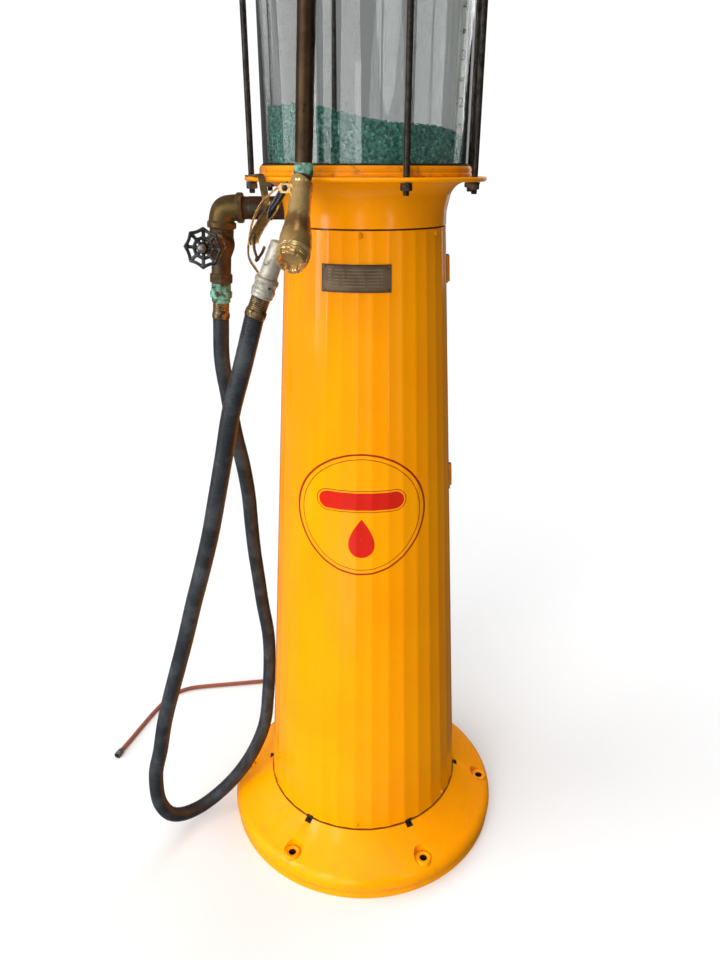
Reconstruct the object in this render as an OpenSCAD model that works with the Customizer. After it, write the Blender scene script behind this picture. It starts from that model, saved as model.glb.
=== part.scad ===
// Visible gas pump: a fluted column with a glass measuring cylinder on top, a hand pump inside,
// a hose with a gate valve, and a hand nozzle. Millimetres, +Z up, +X to the pump's right hand
// as seen from the front, front at -Y. Azimuths run from the front (-Y) towards +X.

/* [Base] */
// Outer radius of the base casting at the floor
base_r = 329; // [325:1:335]
// Height of the land that the column stands on
seam_z = 106; // [100:1:112]
// Radius of the anchor bolt circle
anchor_r = 302; // [300:1:304]
// Diameter of an anchor bolt hole
anchor_d = 17.5; // [14:0.5:20]

/* [Column] */
// Corner radius of the fluted column at its foot
column_foot_r = 232; // [230:1:234]
// Corner radius of the fluted column at its head
column_head_r = 154; // [153:1:155]
// Height of the column's upper seam
neck_z = 1420; // [1418:1:1422]
// Number of flutes
flutes = 36; // [36:36:72]
// Sheet thickness of the column
sheet = 2.5; // [1.5:0.5:3]

/* [Glass] */
// Height of the flange's top face
flange_z = 1505; // [1504:1:1506]
// Outer radius of the flanges
flange_r = 225; // [224:1:228]
// Outer radius of the glass cylinder
glass_r = 190; // [189:1:191]
// Wall of the glass cylinder
glass_wall = 8; // [6:1:8]
// Length of the glass cylinder
glass_h = 600; // [560:5:640]
// Radius of the tie rod circle
rod_circle_r = 215; // [214:0.5:215]
// Diameter of a tie rod
rod_d = 11; // [10:0.5:12]

/* [Lamp globe] */
// Outer radius of the globe's disc
globe_r = 200; // [190:1:205]
// Half thickness of the globe
globe_half = 78; // [70:1:85]

/* [Discharge] */
// Outer radius of the discharge pipe
pipe_r = 21.1; // [21:0.1:21.3]
// Height of the discharge nipple's axis
nipple_z = 1449; // [1448:1:1450]
// Radius of the handwheel's rim
wheel_r = 33; // [32:0.5:35]
// Outer radius of the hose
hose_r = 16.5; // [15.5:0.5:16.5]

/* [Nozzle] */
// Outer radius of the spout
spout_r = 14; // [13:0.5:14]
// Length of the spout's straight tube
spout_len = 300; // [250:5:340]

/* [Hidden] */
$fn = 64;

paint = [0.96, 0.66, 0.05];
steel = [0.42, 0.38, 0.34];
brass = [0.70, 0.56, 0.33];
bronze = [0.36, 0.30, 0.20];
iron = [0.20, 0.20, 0.21];
black = [0.08, 0.08, 0.09];

taper = (column_foot_r - column_head_r) / (neck_z - seam_z);
wall_tilt = atan(taper);
function wall_r(z) = column_foot_r - (z - seam_z) * taper;
function out(az) = [sin(az), -cos(az)];

anchor_az = -32.5;
screw_az = -3.5;
rod_az = 18;

door_az0 = 101;
door_az1 = 149;
door_z0 = 830;
door_z1 = 1390;
door_gap = 2;
hinge_az = 99;
hinge_off = 7;
hinge_zs = [890, 1335];

glass_z = flange_z + 21;
crown_z = glass_z + glass_h + 3;
crown_top = crown_z + 97;
globe_z = crown_top + 22 + globe_r;

pump_z = 900;
pump_y = 60;
pump_r = 85;

elbow = [-273.5, 0, nipple_z];
leg_tilt = atan2(16.5, 209);
leg_len = norm([16.5, 209]);
stem_down = 66;
stem_az = -9;
gate_thick = 14;

// Hose route, from the union at the valve round to the tail at the nozzle.
hose_route = [[-290, 0, 1240], [-295, 5, 1155], [-290, 20, 1070], [-285, 40, 985],
  [-275, 60, 900], [-270, 80, 815], [-270, 95, 735], [-270, 115, 650], [-265, 125, 565],
  [-260, 135, 480], [-250, 135, 390], [-248, 116, 316], [-251, 83, 242], [-259, 41, 174],
  [-289, -13, 121], [-339, -56, 71], [-407, -101, 37], [-456, -156, 67], [-479, -184, 134],
  [-480, -185, 220], [-460, -190, 300], [-440, -200, 385], [-415, -210, 470],
  [-390, -215, 550], [-365, -225, 630], [-340, -235, 715], [-315, -245, 795],
  [-290, -255, 880], [-270, -265, 960], [-250, -270, 1045], [-230, -280, 1130],
  [-205, -285, 1210], [-180, -285, 1295]];

// Supply cord route, from the gland at the back of the base along the floor.
cord_r = 6;
cord_route = [[0, 352, 28], [0, 375, 26], [-3, 398, 19], [-12, 420, 11], [-30, 440, 7],
  [-60, 452, 6], [-100, 457, 6], [-150, 456, 6], [-205, 450, 6], [-260, 442, 6],
  [-320, 433, 6], [-380, 424, 6], [-440, 415, 6], [-500, 406, 6], [-545, 396, 6],
  [-580, 376, 6], [-602, 348, 6], [-618, 315, 6], [-635, 270, 6], [-652, 215, 6],
  [-668, 160, 7], [-680, 118, 9]];

nozzle_mouth = [-98, -250, 1504.5];
barrel_dir = [-0.103, -0.421, -0.901];
hose_end = hose_route[len(hose_route) - 1];
branch_dir = [0.37, 0, 0.929];
spout_root = nozzle_mouth - 8 * barrel_dir;
spout_dir = [0.05, -0.015, 0.9986];
seat_t = 70;
cap_t = 113;
lever_pivot = [-126, -252, 1490];

// ---- helpers ----

// Places children with their +Z along d and their origin at p; a child's Y stays level.
module aim(p, d) {
  translate(p)
    rotate([0, acos(d[2] / norm(d)), atan2(d[1], d[0])])
      children();
}

// Places children on the column's wall: local X outward, Y towards rising azimuth, Z up the wall.
module at_wall(az, z) {
  rotate([0, 0, az - 90])
    translate([wall_r(z), 0, z])
      rotate([0, -wall_tilt, 0])
        children();
}

// Repeats children n times around the column's axis, the first at azimuth az.
module ring_of(n, az) {
  for (k = [0 : n - 1])
    rotate([0, 0, az + k * 360 / n])
      children();
}

// A solid fluted column between two heights, set in by a distance.
module column_solid(z0, z1, inset) {
  r0 = wall_r(z0) - inset;
  translate([0, 0, z0])
    linear_extrude(height = z1 - z0, scale = (wall_r(z1) - inset) / r0)
      polygon([for (k = [0 : flutes - 1]) let (a = (k + 0.5) * 360 / flutes)
        [r0 * cos(a), r0 * sin(a)]]);
}

module column_sheet(z0, z1) {
  difference() {
    column_solid(z0, z1, 0);
    column_solid(z0 - 1, z1 + 1, sheet);
  }
}

// A sector of space between two azimuths and two heights.
module sector(az0, az1, z0, z1, r) {
  mid = (az0 + az1) / 2;
  translate([0, 0, z0])
    linear_extrude(height = z1 - z0)
      polygon([[0, 0], r * out(az0), r * out(mid), r * out(az1)]);
}

module tube(ro, ri, h) {
  difference() {
    cylinder(r = ro, h = h);
    translate([0, 0, -1]) cylinder(r = ri, h = h + 2);
  }
}

module hexagon(flat, h) cylinder(r = flat / 2 / cos(30), h = h, $fn = 6);

// A flat strap from a to b with round ends; w is its width and t its thickness.
module strap(a, b, w, t) {
  aim(a, b - a) {
    translate([-t / 2, -w / 2, 0]) cube([t, w, norm(b - a)]);
    for (z = [0, norm(b - a)])
      translate([0, w / 2 + 0.1, z]) rotate([90, 0, 0]) cylinder(d = t + 0.4, h = w + 0.2);
  }
}

// A flat strap from a to b with square ends that run half its thickness past both points.
module bar(a, b, w, t) {
  aim(a, b - a) translate([-t / 2, -w / 2, -t / 2]) cube([t, w, norm(b - a) + t]);
}

module bars(points, w, t) {
  for (k = [0 : len(points) - 2]) bar(points[k], points[k + 1], w, t);
}

// Unit tangent of a route at point k, and the two directions across it.
function unit(v) = v / norm(v);
function tangent(p, k) = unit(p[min(k + 1, len(p) - 1)] - p[max(k - 1, 0)]);
function side(t, n) = unit(n - (n * t) * t);
function sides(p, k, n) = let (m = side(tangent(p, k), n))
  k == len(p) - 1 ? [m] : concat([m], sides(p, k + 1, m));

// A closed tube of n sides swept along a route.
module sweep(p, r, n, start) {
  m = sides(p, 0, start);
  last = len(p) - 1;
  points = [for (k = [0 : last], j = [0 : n - 1])
    let (t = tangent(p, k), a = j * 360 / n)
      p[k] + r * (cos(a) * m[k] + sin(a) * cross(t, m[k]))];
  walls = [for (k = [0 : last - 1], j = [0 : n - 1]) let (j2 = (j + 1) % n)
    [k * n + j, (k + 1) * n + j, (k + 1) * n + j2, k * n + j2]];
  polyhedron(points, concat(walls, [[for (j = [0 : n - 1]) j],
    [for (j = [n - 1 : -1 : 0]) last * n + j]]));
}

// Frame of the leaning leg below the elbow, and of the valve's stem on it.
module leg() translate(elbow) rotate([0, leg_tilt, 0]) children();
module on_stem() leg() translate([0, 0, -stem_down]) rotate([0, 0, stem_az]) rotate([90, 0, 0])
  children();

// ---- base and column ----

// Points of an arc about c, and of a curve from a to c that leaves and arrives towards b.
function arc(c, r, a0, a1, n) = [for (k = [0 : n]) let (a = a0 + (a1 - a0) * k / n)
  c + r * [cos(a), sin(a)]];
function bend(a, b, c, n) = [for (k = [1 : n]) let (u = k / n)
  (1 - u) * (1 - u) * a + 2 * u * (1 - u) * b + u * u * c];

rim_r = 30;
rim_c = [base_r - rim_r, rim_r];
rim_end = rim_c + rim_r * [cos(62), sin(62)];
base_wall = 10;
land_r = 200;
spigot_h = 24;

module base_profile() {
  outer = concat([[base_r - 3, 0]], arc(rim_c, rim_r, -30, 62, 8),
    bend(rim_end, [272, seam_z - 31], [column_foot_r + 3, seam_z - 3], 6),
    [[column_foot_r, seam_z]]);
  spigot = [[226.5, seam_z], [226.5, seam_z + spigot_h], [216, seam_z + spigot_h],
    [216, seam_z]];
  inner = [[land_r, seam_z], [land_r, seam_z - 12], [222, seam_z - 14], [262, 66], [300, 44],
    [base_r - base_wall, 24], [base_r - base_wall - 5, 0]];
  polygon(concat(outer, spigot, inner));
}

module base_casting() {
  color(paint) difference() {
    union() {
      rotate_extrude() base_profile();
      ring_of(6, anchor_az) translate([0, -anchor_r, 0]) cylinder(r = 17, h = 63);
      translate([0, 300, 28]) rotate([-90, 0, 0]) cylinder(r = 17, h = 32);
    }
    ring_of(6, anchor_az) translate([0, -anchor_r, -1]) cylinder(d = anchor_d, h = 80);
    ring_of(6, anchor_az) translate([-8.5, -243, seam_z - 9]) cube([17, 15.5, 32]);
    translate([0, 280, 28]) rotate([-90, 0, 0]) cylinder(r = 10, h = 60);
  }
}

module column_shell() {
  color(paint) difference() {
    column_sheet(seam_z, neck_z);
    sector(door_az0, door_az1, door_z0, door_z1, 300);
    translate([0, 150, pump_z]) rotate([-90, 0, 0]) cylinder(r = 14, h = 60);
  }
}

module column_screws() {
  color(bronze) for (z = [seam_z + 12, neck_z - 9])
    for (k = [0 : 5])
      at_wall(screw_az + 60 * k, z) rotate([0, 90, 0]) difference() {
        union() {
          cylinder(r = 4.5, h = 2.5);
          translate([0, 0, -3]) cylinder(r = 2.5, h = 3.5);
        }
        translate([-5, -0.6, 1.5]) cube([10, 1.2, 2]);
      }
}

module access_door() {
  half = door_gap / 2;
  trim = half / wall_r(door_z1) * 180 / PI;
  color(paint) intersection() {
    column_sheet(door_z0 - 10, door_z1 + 10);
    sector(door_az0 + trim, door_az1 - trim, door_z0 + half, door_z1 - half, 300);
  }
}

module hinge_part(y, z0s, h) {
  translate([0.2, y, -25]) cube([2, 20, 50]);
  for (z0 = z0s) {
    translate([hinge_off, 0, z0]) tube(5, 2.05, h);
    translate([0.2, y < 0 ? -5 : 3.4, z0]) cube([5, 1.6, h]);
  }
}

module door_hinge_leaves() {
  color(paint) for (z = hinge_zs) at_wall(hinge_az, z) {
    hinge_part(-24, [-25, 9], 16);
  }
}

module door_hinge_knuckles() {
  color(paint) for (z = hinge_zs) at_wall(hinge_az, z) {
    translate([0.2, 4, -8]) cube([2, 22, 16]);
    translate([hinge_off, 0, -8]) tube(5, 2.05, 16);
    translate([0.2, 3, -8]) cube([5, 2, 16]);
  }
}

module door_hinge_pins() {
  color(steel) for (z = hinge_zs)
    at_wall(hinge_az, z) translate([hinge_off, 0, -27]) {
      cylinder(r = 2, h = 54);
      translate([0, 0, 52.2]) cylinder(r = 3.5, h = 2);
    }
}

module door_pull() {
  color(brass) at_wall(142, 1110) rotate([0, 90, 0]) {
    cylinder(r = 4, h = 14);
    translate([0, 0, 14]) cylinder(r1 = 9, r2 = 11, h = 5);
    translate([0, 0, 19]) cylinder(r1 = 11, r2 = 7, h = 5);
  }
}

module inner_frame() {
  color(iron) for (s = [0, 1]) mirror([s, 0, 0]) {
    translate([88, pump_y - 15, seam_z]) cube([6, 30, 1285]);
    translate([88, pump_y - 15, seam_z]) cube([114, 30, 6]);
  }
}

// ---- neck, glass and crown ----

sump_r = 88;

module neck_profile() {
  h = column_head_r;
  polygon([[h, neck_z], [h, neck_z + 25], [h + 2.5, neck_z + 38], [h + 7, neck_z + 58],
    [h + 16, neck_z + 70], [h + 30, neck_z + 76.5], [flange_r - 3, neck_z + 77],
    [flange_r, neck_z + 79.5], [flange_r, flange_z - 2], [flange_r - 2, flange_z],
    [0, flange_z], [0, flange_z - 8], [sump_r - 8, flange_z - 8], [sump_r - 8, neck_z + 13],
    [0, neck_z + 13], [0, neck_z + 5], [sump_r, neck_z + 5], [sump_r, flange_z - 8],
    [h - 2, flange_z - 10], [h - 6, neck_z + 30], [140, neck_z], [140, neck_z - 25],
    [148.5, neck_z - 25], [148.5, neck_z]]);
}

module neck_casting() {
  color(paint) difference() {
    rotate_extrude() neck_profile();
    ring_of(8, rod_az) translate([0, -rod_circle_r, flange_z - 20]) cylinder(r = 6.5, h = 30);
    ring_of(8, 0) translate([0, -45, flange_z - 20]) cylinder(r = 6, h = 30);
    translate([-200, 0, nipple_z]) rotate([0, 90, 0]) cylinder(r = pipe_r, h = 121);
    translate([0, pump_y, neck_z]) cylinder(r = 16, h = 20);
  }
}

module glass_seat_ring() {
  color(paint) translate([0, 0, flange_z]) rotate_extrude()
    polygon([[184, 0], [197, 0], [197, 14], [195, 18], [184, 18]]);
}

module glass_gaskets() {
  color(black) for (z = [glass_z - 3, glass_z + glass_h])
    translate([0, 0, z]) tube(glass_r + 2, glass_r - glass_wall, 3);
}

module glass_cylinder() {
  color([0.8, 0.9, 0.95, 0.35]) translate([0, 0, glass_z])
    tube(glass_r, glass_r - glass_wall, glass_h);
}

gauge_x = 163;
gauge_y = -20;

module gauge_strip() {
  color([0.85, 0.85, 0.82]) translate([gauge_x, gauge_y, glass_z + 2]) cube([15, 1.5, 560]);
}

heap_z = flange_z + 95;
heap_tilt = 8;

module display_granules() {
  color([0.2, 0.55, 0.48]) difference() {
    translate([0, 0, flange_z]) cylinder(r = 180, h = 160);
    translate([0, 0, heap_z]) rotate([0, heap_tilt, 0]) translate([-300, -300, 0])
      cube([600, 600, 200]);
    translate([gauge_x - 0.5, gauge_y - 0.5, flange_z + 20]) cube([30, 2.5, 200]);
  }
}

module tie_rods() {
  color(steel) ring_of(8, rod_az) translate([0, -rod_circle_r, flange_z - 28])
    cylinder(d = rod_d, h = crown_z - flange_z + 56);
}

module rod_nuts() {
  color(steel) ring_of(8, rod_az) translate([0, -rod_circle_r, 0])
    for (z = [flange_z - 20.4, crown_z + 10.5])
      translate([0, 0, z]) difference() {
        hexagon(17.5, 9.5);
        translate([0, 0, -1]) cylinder(d = rod_d, h = 12);
      }
}

module rod_washers() {
  color(steel) ring_of(8, rod_az) translate([0, -rod_circle_r, 0])
    for (z = [flange_z - 10.9, crown_z + 8])
      translate([0, 0, z]) tube(10, 6, 2.5);
}

module crown_casting() {
  color(paint) translate([0, 0, crown_z]) difference() {
    rotate_extrude() polygon([[flange_r, 0], [flange_r, 8], [199, 8], [194, 22], [184, 40],
      [164, 56], [134, 68], [104, 75], [86, 80], [80, 86], [80, 97], [72, 97], [72, 82],
      [82, 74], [102, 68], [130, 61], [158, 50], [176, 36], [182, 20], [182, 0]]);
    ring_of(8, rod_az) translate([0, -rod_circle_r, -1]) cylinder(r = 6.5, h = 30);
  }
}

module globe_collar() {
  color(brass) translate([0, 0, crown_top]) difference() {
    rotate_extrude() polygon([[72, 0], [98, 0], [98, 6], [90, 10], [90, 26], [87, 28],
      [84, 28], [84, 8], [72, 8]]);
    for (k = [0 : 2]) rotate([0, 0, 120 * k]) translate([0, -100, 19]) rotate([-90, 0, 0])
      cylinder(r = 3, h = 20);
  }
}

module globe_disc(inset) {
  r = globe_r - inset;
  y = globe_half - inset;
  rotate([90, 0, 0]) rotate_extrude() polygon([for (s = [-1, 1]) each
    [for (k = [0 : 10]) let (u = s < 0 ? k / 10 : 1 - k / 10)
      [r * sin(90 * u), s * (y * 0.35 * (u < 0.999 ? 1 : 0.6) + y * 0.65 * cos(90 * u))]]]);
}

module globe() {
  color([0.95, 0.95, 0.9]) difference() {
    union() {
      translate([0, 0, globe_z]) globe_disc(0);
      translate([0, 0, crown_top + 8]) cylinder(r = 76, h = 60);
    }
    translate([0, 0, globe_z]) globe_disc(5);
    translate([0, 0, crown_top + 7]) cylinder(r = 71, h = 62);
  }
}

module lamp_socket() {
  color(brass) translate([0, 0, crown_top]) {
    translate([-70.7, -12, -10]) cube([141.4, 24, 5]);
    translate([0, 0, -5]) cylinder(r = 22, h = 12);
    translate([0, 0, 7]) tube(20, 14.5, 48);
  }
}

module lamp_bulb() {
  color([0.95, 0.95, 0.85]) translate([0, 0, crown_top + 10]) rotate_extrude()
    polygon(concat([[0, 0], [13, 4], [13, 48]], arc([0, 95], 32, -62, 90, 12)));
}

// ---- hand pump ----

module pump_axis(y) translate([0, y, pump_z]) rotate([-90, 0, 0]) children();

module pump_body() {
  color(iron) difference() {
    union() {
      pump_axis(pump_y - 30) cylinder(r = pump_r, h = 60);
      for (z = [pump_z - 100, pump_z + 75]) translate([0, pump_y, z]) cylinder(r = 28, h = 25);
      translate([-88, pump_y - 15, pump_z - 20]) cube([176, 30, 40]);
    }
    pump_axis(pump_y - 22) cylinder(r = 72, h = 60);
    translate([0, pump_y, pump_z - 110]) cylinder(r = 17.5, h = 220);
  }
}

module pump_cover() {
  color(iron) difference() {
    union() {
      pump_axis(pump_y + 30) cylinder(r = pump_r, h = 8);
      pump_axis(pump_y + 38) cylinder(r = 20, h = 18);
      pump_axis(pump_y + 56) hexagon(34, 10);
    }
    pump_axis(pump_y + 20) cylinder(r = 9.06, h = 60);
  }
}

module pump_cover_bolts() {
  color(steel) for (k = [0 : 7]) pump_axis(pump_y + 38) rotate([0, 0, 22.5 + 45 * k])
    translate([78.5, 0, 0]) hexagon(10, 5);
}

module pump_wing() {
  color(brass) difference() {
    union() {
      pump_axis(pump_y - 21) cylinder(r = 18, h = 50);
      translate([-70.5, pump_y - 21, pump_z - 6]) cube([141, 50, 12]);
    }
    pump_axis(pump_y - 30) cylinder(r = 9, h = 80);
  }
}

module pump_shaft() {
  color(steel) pump_axis(pump_y - 21) cylinder(r = 9, h = 206);
}

lever_top = [0, 226, pump_z];
lever_mid = [0, 250, pump_z - 450];
lever_low = [0, 254, pump_z - 590];

module pump_lever() {
  color(iron) difference() {
    union() {
      translate([0, 214, pump_z]) rotate([-90, 0, 0]) cylinder(r = 21, h = 24);
      aim(lever_top, lever_mid - lever_top) translate([-5, -15, 0])
        cube([10, 30, norm(lever_mid - lever_top)]);
      aim(lever_mid, lever_low - lever_mid) cylinder(r = 7, h = norm(lever_low - lever_mid));
      translate(lever_mid) sphere(r = 15);
    }
    pump_axis(200) cylinder(r = 9, h = 60);
  }
}

module lever_grip() {
  color(black) aim(lever_mid, lever_low - lever_mid) translate([0, 0, 15])
    tube(15, 7, norm(lever_low - lever_mid) - 15);
}

module suction_pipe() {
  color(steel) translate([0, pump_y, 15]) tube(pipe_r, 17.5, pump_z - 115);
}

module riser_pipe() {
  color(steel) translate([0, pump_y, pump_z + 100])
    tube(pipe_r, 16, neck_z + 5 - pump_z - 100);
}

// ---- discharge leg ----

module discharge_nipple() {
  x0 = elbow[0] + 22;
  color(bronze) translate([x0, 0, nipple_z]) rotate([0, 90, 0]) tube(pipe_r, 17.5, -80 - x0);
}

module discharge_elbow() {
  color(bronze) difference() {
    union() {
      translate(elbow) sphere(r = 25);
      translate(elbow) rotate([0, 90, 0]) cylinder(r = 24, h = 40);
      translate(elbow + [28, 0, 0]) rotate([0, 90, 0]) cylinder(r = 28, h = 12);
      leg() translate([0, 0, -36]) cylinder(r = 24, h = 36);
      leg() translate([0, 0, -36]) cylinder(r = 28, h = 12);
    }
    translate(elbow) sphere(r = 17.5);
    translate(elbow) rotate([0, 90, 0]) cylinder(r = 17.5, h = 50);
    translate(elbow + [22, 0, 0]) rotate([0, 90, 0]) cylinder(r = pipe_r, h = 30);
    leg() translate([0, 0, -50]) cylinder(r = 14, h = 50);
  }
}

module gate_slot(len) translate([-15, -8, -15]) cube([30, 16, 15 + len]);

module valve_body() {
  color(bronze) difference() {
    union() {
      leg() translate([0, 0, -140]) cylinder(r = 19, h = 104);
      leg() translate([0, 0, -54]) cylinder(r = 23, h = 18, $fn = 8);
      leg() translate([0, 0, -140]) cylinder(r = 22, h = 18, $fn = 8);
      leg() translate([0, 0, -stem_down]) sphere(r = 25);
      on_stem() cylinder(r = 21, h = 34);
    }
    leg() translate([0, 0, -150]) cylinder(r = 14, h = 130);
    on_stem() gate_slot(60);
  }
}

module valve_bonnet() {
  color(bronze) difference() {
    on_stem() translate([0, 0, 34]) union() {
      hexagon(40, 9);
      translate([0, 0, 9]) cylinder(r = 19.5, h = 5);
      translate([0, 0, 14]) cylinder(r1 = 19, r2 = 11, h = 10);
    }
    on_stem() gate_slot(44);
    on_stem() cylinder(r = 4.56, h = 80);
  }
}

module packing_nut() {
  color(brass) on_stem() translate([0, 0, 58]) difference() {
    union() {
      hexagon(21, 9);
      translate([0, 0, 9]) cylinder(r1 = 9.5, r2 = 7, h = 4);
    }
    translate([0, 0, -1]) cylinder(r = 4.56, h = 20);
  }
}

module valve_stem() {
  color(brass) on_stem() translate([0, 0, 6]) cylinder(r = 4.5, h = 104);
}

module valve_gate() {
  color(brass) difference() {
    on_stem() rotate([90, 0, 0]) translate([0, 0, -gate_thick / 2])
      cylinder(r = 14.2, h = gate_thick);
    on_stem() translate([0, 0, -30]) cylinder(r = 4.8, h = 60);
  }
}

module handwheel() {
  color(black) on_stem() translate([0, 0, 100]) difference() {
    union() {
      rotate_extrude() translate([wheel_r, 0]) circle(r = 4.5);
      for (k = [0 : 7]) rotate([0, 90, 45 * k]) cylinder(r = 2.8, h = wheel_r);
      translate([0, 0, -7]) cylinder(r = 10, h = 13);
    }
    translate([0, 0, -20]) cylinder(r = 4.5, h = 40);
  }
}

module handwheel_nut() {
  color(brass) on_stem() translate([0, 0, 106]) difference() {
    hexagon(14, 7);
    translate([0, 0, -1]) cylinder(r = 4.5, h = 5);
  }
}

module hose_union() {
  color([0.35, 0.55, 0.5]) leg() translate([0, 0, -178]) difference() {
    union() {
      translate([0, 0, 24]) cylinder(r = 19, h = 14);
      translate([0, 0, 8]) hexagon(38, 16);
      cylinder(r = 18, h = 8);
    }
    translate([0, 0, -1]) cylinder(r = 12, h = 50);
  }
}

module upper_hose_tail() {
  color(brass) leg() translate([0, 0, -leg_len]) difference() {
    union() {
      cylinder(r = 17.5, h = 10);
      translate([0, 0, 10]) cylinder(r = 16, h = leg_len - 188);
    }
    translate([0, 0, -1]) cylinder(r = 12, h = 50);
  }
}

module discharge_hose() {
  color(black) sweep(hose_route, hose_r, 10, [0, 1, 0]);
}

// ---- nozzle ----

module on_branch() aim(hose_end, branch_dir) children();
module on_barrel() aim(nozzle_mouth, barrel_dir) children();

module lower_hose_tail() {
  color(brass) on_branch() difference() {
    union() {
      cylinder(r = 17.5, h = 12);
      translate([0, 0, 12]) cylinder(r = 15.5, h = 22);
    }
    translate([0, 0, -1]) cylinder(r = 10, h = 50);
  }
}

module nozzle_swivel() {
  color([0.6, 0.58, 0.52]) on_branch() translate([0, 0, 34]) difference() {
    union() {
      cylinder(r = 18, h = 8);
      translate([0, 0, 8]) cylinder(r = 19.5, h = 6);
      translate([0, 0, 14]) cylinder(r = 17, h = 10);
      translate([0, 0, 24]) cylinder(r = 19.5, h = 8);
    }
    translate([0, 0, -1]) cylinder(r = 10, h = 50);
  }
}

module nozzle_body() {
  color(brass) difference() {
    union() {
      on_barrel() rotate_extrude() polygon([[0, 0], [17.5, 0], [18.5, 2], [18.5, 10],
        [17.5, 12], [17.5, 30], [18.5, 50], [21, 70], [24.5, 84], [25.5, 98], [25, cap_t],
        [0, cap_t]]);
      on_branch() translate([0, 0, 66]) cylinder(r1 = 15, r2 = 14, h = 88);
      for (y = [4.2, -9.2]) translate(lever_pivot + [-8, y, -8]) cube([24, 5, 14]);
    }
    on_barrel() translate([0, 0, -1]) cylinder(r = 14.5, h = 15);
    on_barrel() cylinder(r = 11, h = 90);
    on_barrel() translate([0, 0, seat_t]) cylinder(r = 17, h = 60);
    on_branch() translate([0, 0, 60]) cylinder(r = 9, h = 96);
    translate(lever_pivot + [0, 20, 0]) rotate([90, 0, 0]) cylinder(r = 3, h = 40);
  }
}

module nozzle_cap() {
  color(brass) difference() {
    on_barrel() translate([0, 0, cap_t]) union() {
      cylinder(r = 26, h = 6);
      translate([0, 0, 6]) cylinder(r1 = 24, r2 = 22, h = 8);
      translate([-20, -5, 14]) cube([40, 10, 5]);
    }
    on_barrel() translate([0, 0, cap_t - 1]) cylinder(r = 4, h = 14);
    on_branch() translate([0, 0, 50]) cylinder(r = 15.6, h = 110);
  }
}

module nozzle_spout() {
  color(bronze) difference() {
    union() {
      on_barrel() translate([0, 0, -8]) cylinder(r = 14.5, h = 22);
      translate(spout_root) sphere(r = 15.2);
      aim(spout_root, spout_dir) cylinder(r = spout_r, h = spout_len);
    }
    on_barrel() translate([0, 0, -8]) cylinder(r = 11.5, h = 40);
    translate(spout_root) sphere(r = 12.8);
    aim(spout_root, spout_dir) cylinder(r = 12, h = spout_len + 10);
  }
}

lever_a = [-161, -253, 1466];
lever_b = [-178, -262, 1414];
lever_c = [-173, -268, 1384];
link_end = [-160, -273, 1403];

module nozzle_lever() {
  color(brass) difference() {
    union() {
      translate(lever_pivot + [0, 3.8, 0]) rotate([90, 0, 0]) cylinder(r = 6.5, h = 7.6);
      strap(lever_pivot, lever_a, 7, 6);
      strap(lever_a, lever_b, 14, 9);
      strap(lever_b, lever_c, 8, 4);
      strap(lever_c, link_end, 5, 4);
    }
    translate(lever_pivot + [0, 20, 0]) rotate([90, 0, 0]) cylinder(r = 3.05, h = 40);
  }
}

module nozzle_lever_pin() {
  color(steel) translate(lever_pivot + [0, 10.5, 0]) rotate([90, 0, 0]) cylinder(r = 3, h = 21);
}

module nozzle_guard() {
  color(bronze) bars([[-112, -236, 1494], [-132, -234, 1494], [-164, -233, 1470],
    [-188, -243, 1412], [-188, -258, 1386], [-172, -274, 1364]], 8, 3);
}

module nozzle_valve() {
  color(brass) on_barrel() {
    translate([0, 0, seat_t + 0.5]) cylinder(r = 15.5, h = 5);
    translate([0, 0, seat_t]) cylinder(r = 3.5, h = 45);
  }
}

spring_r = 9;
spring_turns = 6;
spring_t0 = seat_t + 7;

module nozzle_spring() {
  rings = 12 * spring_turns;
  h = cap_t - spring_t0 - 2;
  color(steel) on_barrel() sweep([for (k = [0 : rings]) [spring_r * cos(30 * k),
    spring_r * sin(30 * k), spring_t0 + h * k / rings]], 1, 6, [0, 0, 1]);
}

module nozzle_hook() {
  rod_foot = rod_circle_r * out(rod_az - 90);
  plate_t = 2.5;
  strap_z = flange_z + 1.8;
  path = [[-203, -74, strap_z], [-176, -156, strap_z], [-166, -200, 1484],
    [-158, -224, 1459], [-148, -238, 1458], [-146, -243, 1470]];
  color(bronze) difference() {
    union() {
      translate([rod_foot[0], rod_foot[1], flange_z]) cylinder(r = 12, h = plate_t);
      bars(path, 12, 3);
    }
    translate([rod_foot[0], rod_foot[1], flange_z - 5]) cylinder(d = rod_d, h = 20);
  }
}

// ---- small parts ----

plate_az = -6;
plate_half = 23;
plate_z = [1315, 1363];

module nameplate() {
  h = plate_z[1] - plate_z[0];
  color([0.35, 0.29, 0.21]) intersection() {
    translate([0, 0, plate_z[0]]) difference() {
      cylinder(r1 = wall_r(plate_z[0]) + 1.6, r2 = wall_r(plate_z[1]) + 1.6, h = h);
      translate([0, 0, -0.01])
        cylinder(r1 = wall_r(plate_z[0]) + 0.1, r2 = wall_r(plate_z[1]) + 0.1, h = h + 0.02);
    }
    sector(plate_az - plate_half, plate_az + plate_half, plate_z[0], plate_z[1], 250);
  }
}

module nameplate_rivets() {
  color(brass) for (s = [-1, 1], z = [plate_z[0] + 5, plate_z[1] - 5])
    at_wall(plate_az + s * (plate_half - 1.7), z) rotate([0, 90, 0])
      translate([0, 0, 1.6]) cylinder(r1 = 2.6, r2 = 1.8, h = 1.4);
}

module supply_cord() {
  color([0.55, 0.28, 0.2]) sweep(cord_route, cord_r, 10, [0, 0, 1]);
}

module cord_coupling() {
  last = len(cord_route) - 1;
  color([0.6, 0.6, 0.6]) aim(cord_route[last], [-12, -42, 0]) {
    cylinder(r = 8, h = 8);
    translate([0, 0, 8]) tube(9, 6, 12);
  }
}

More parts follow.
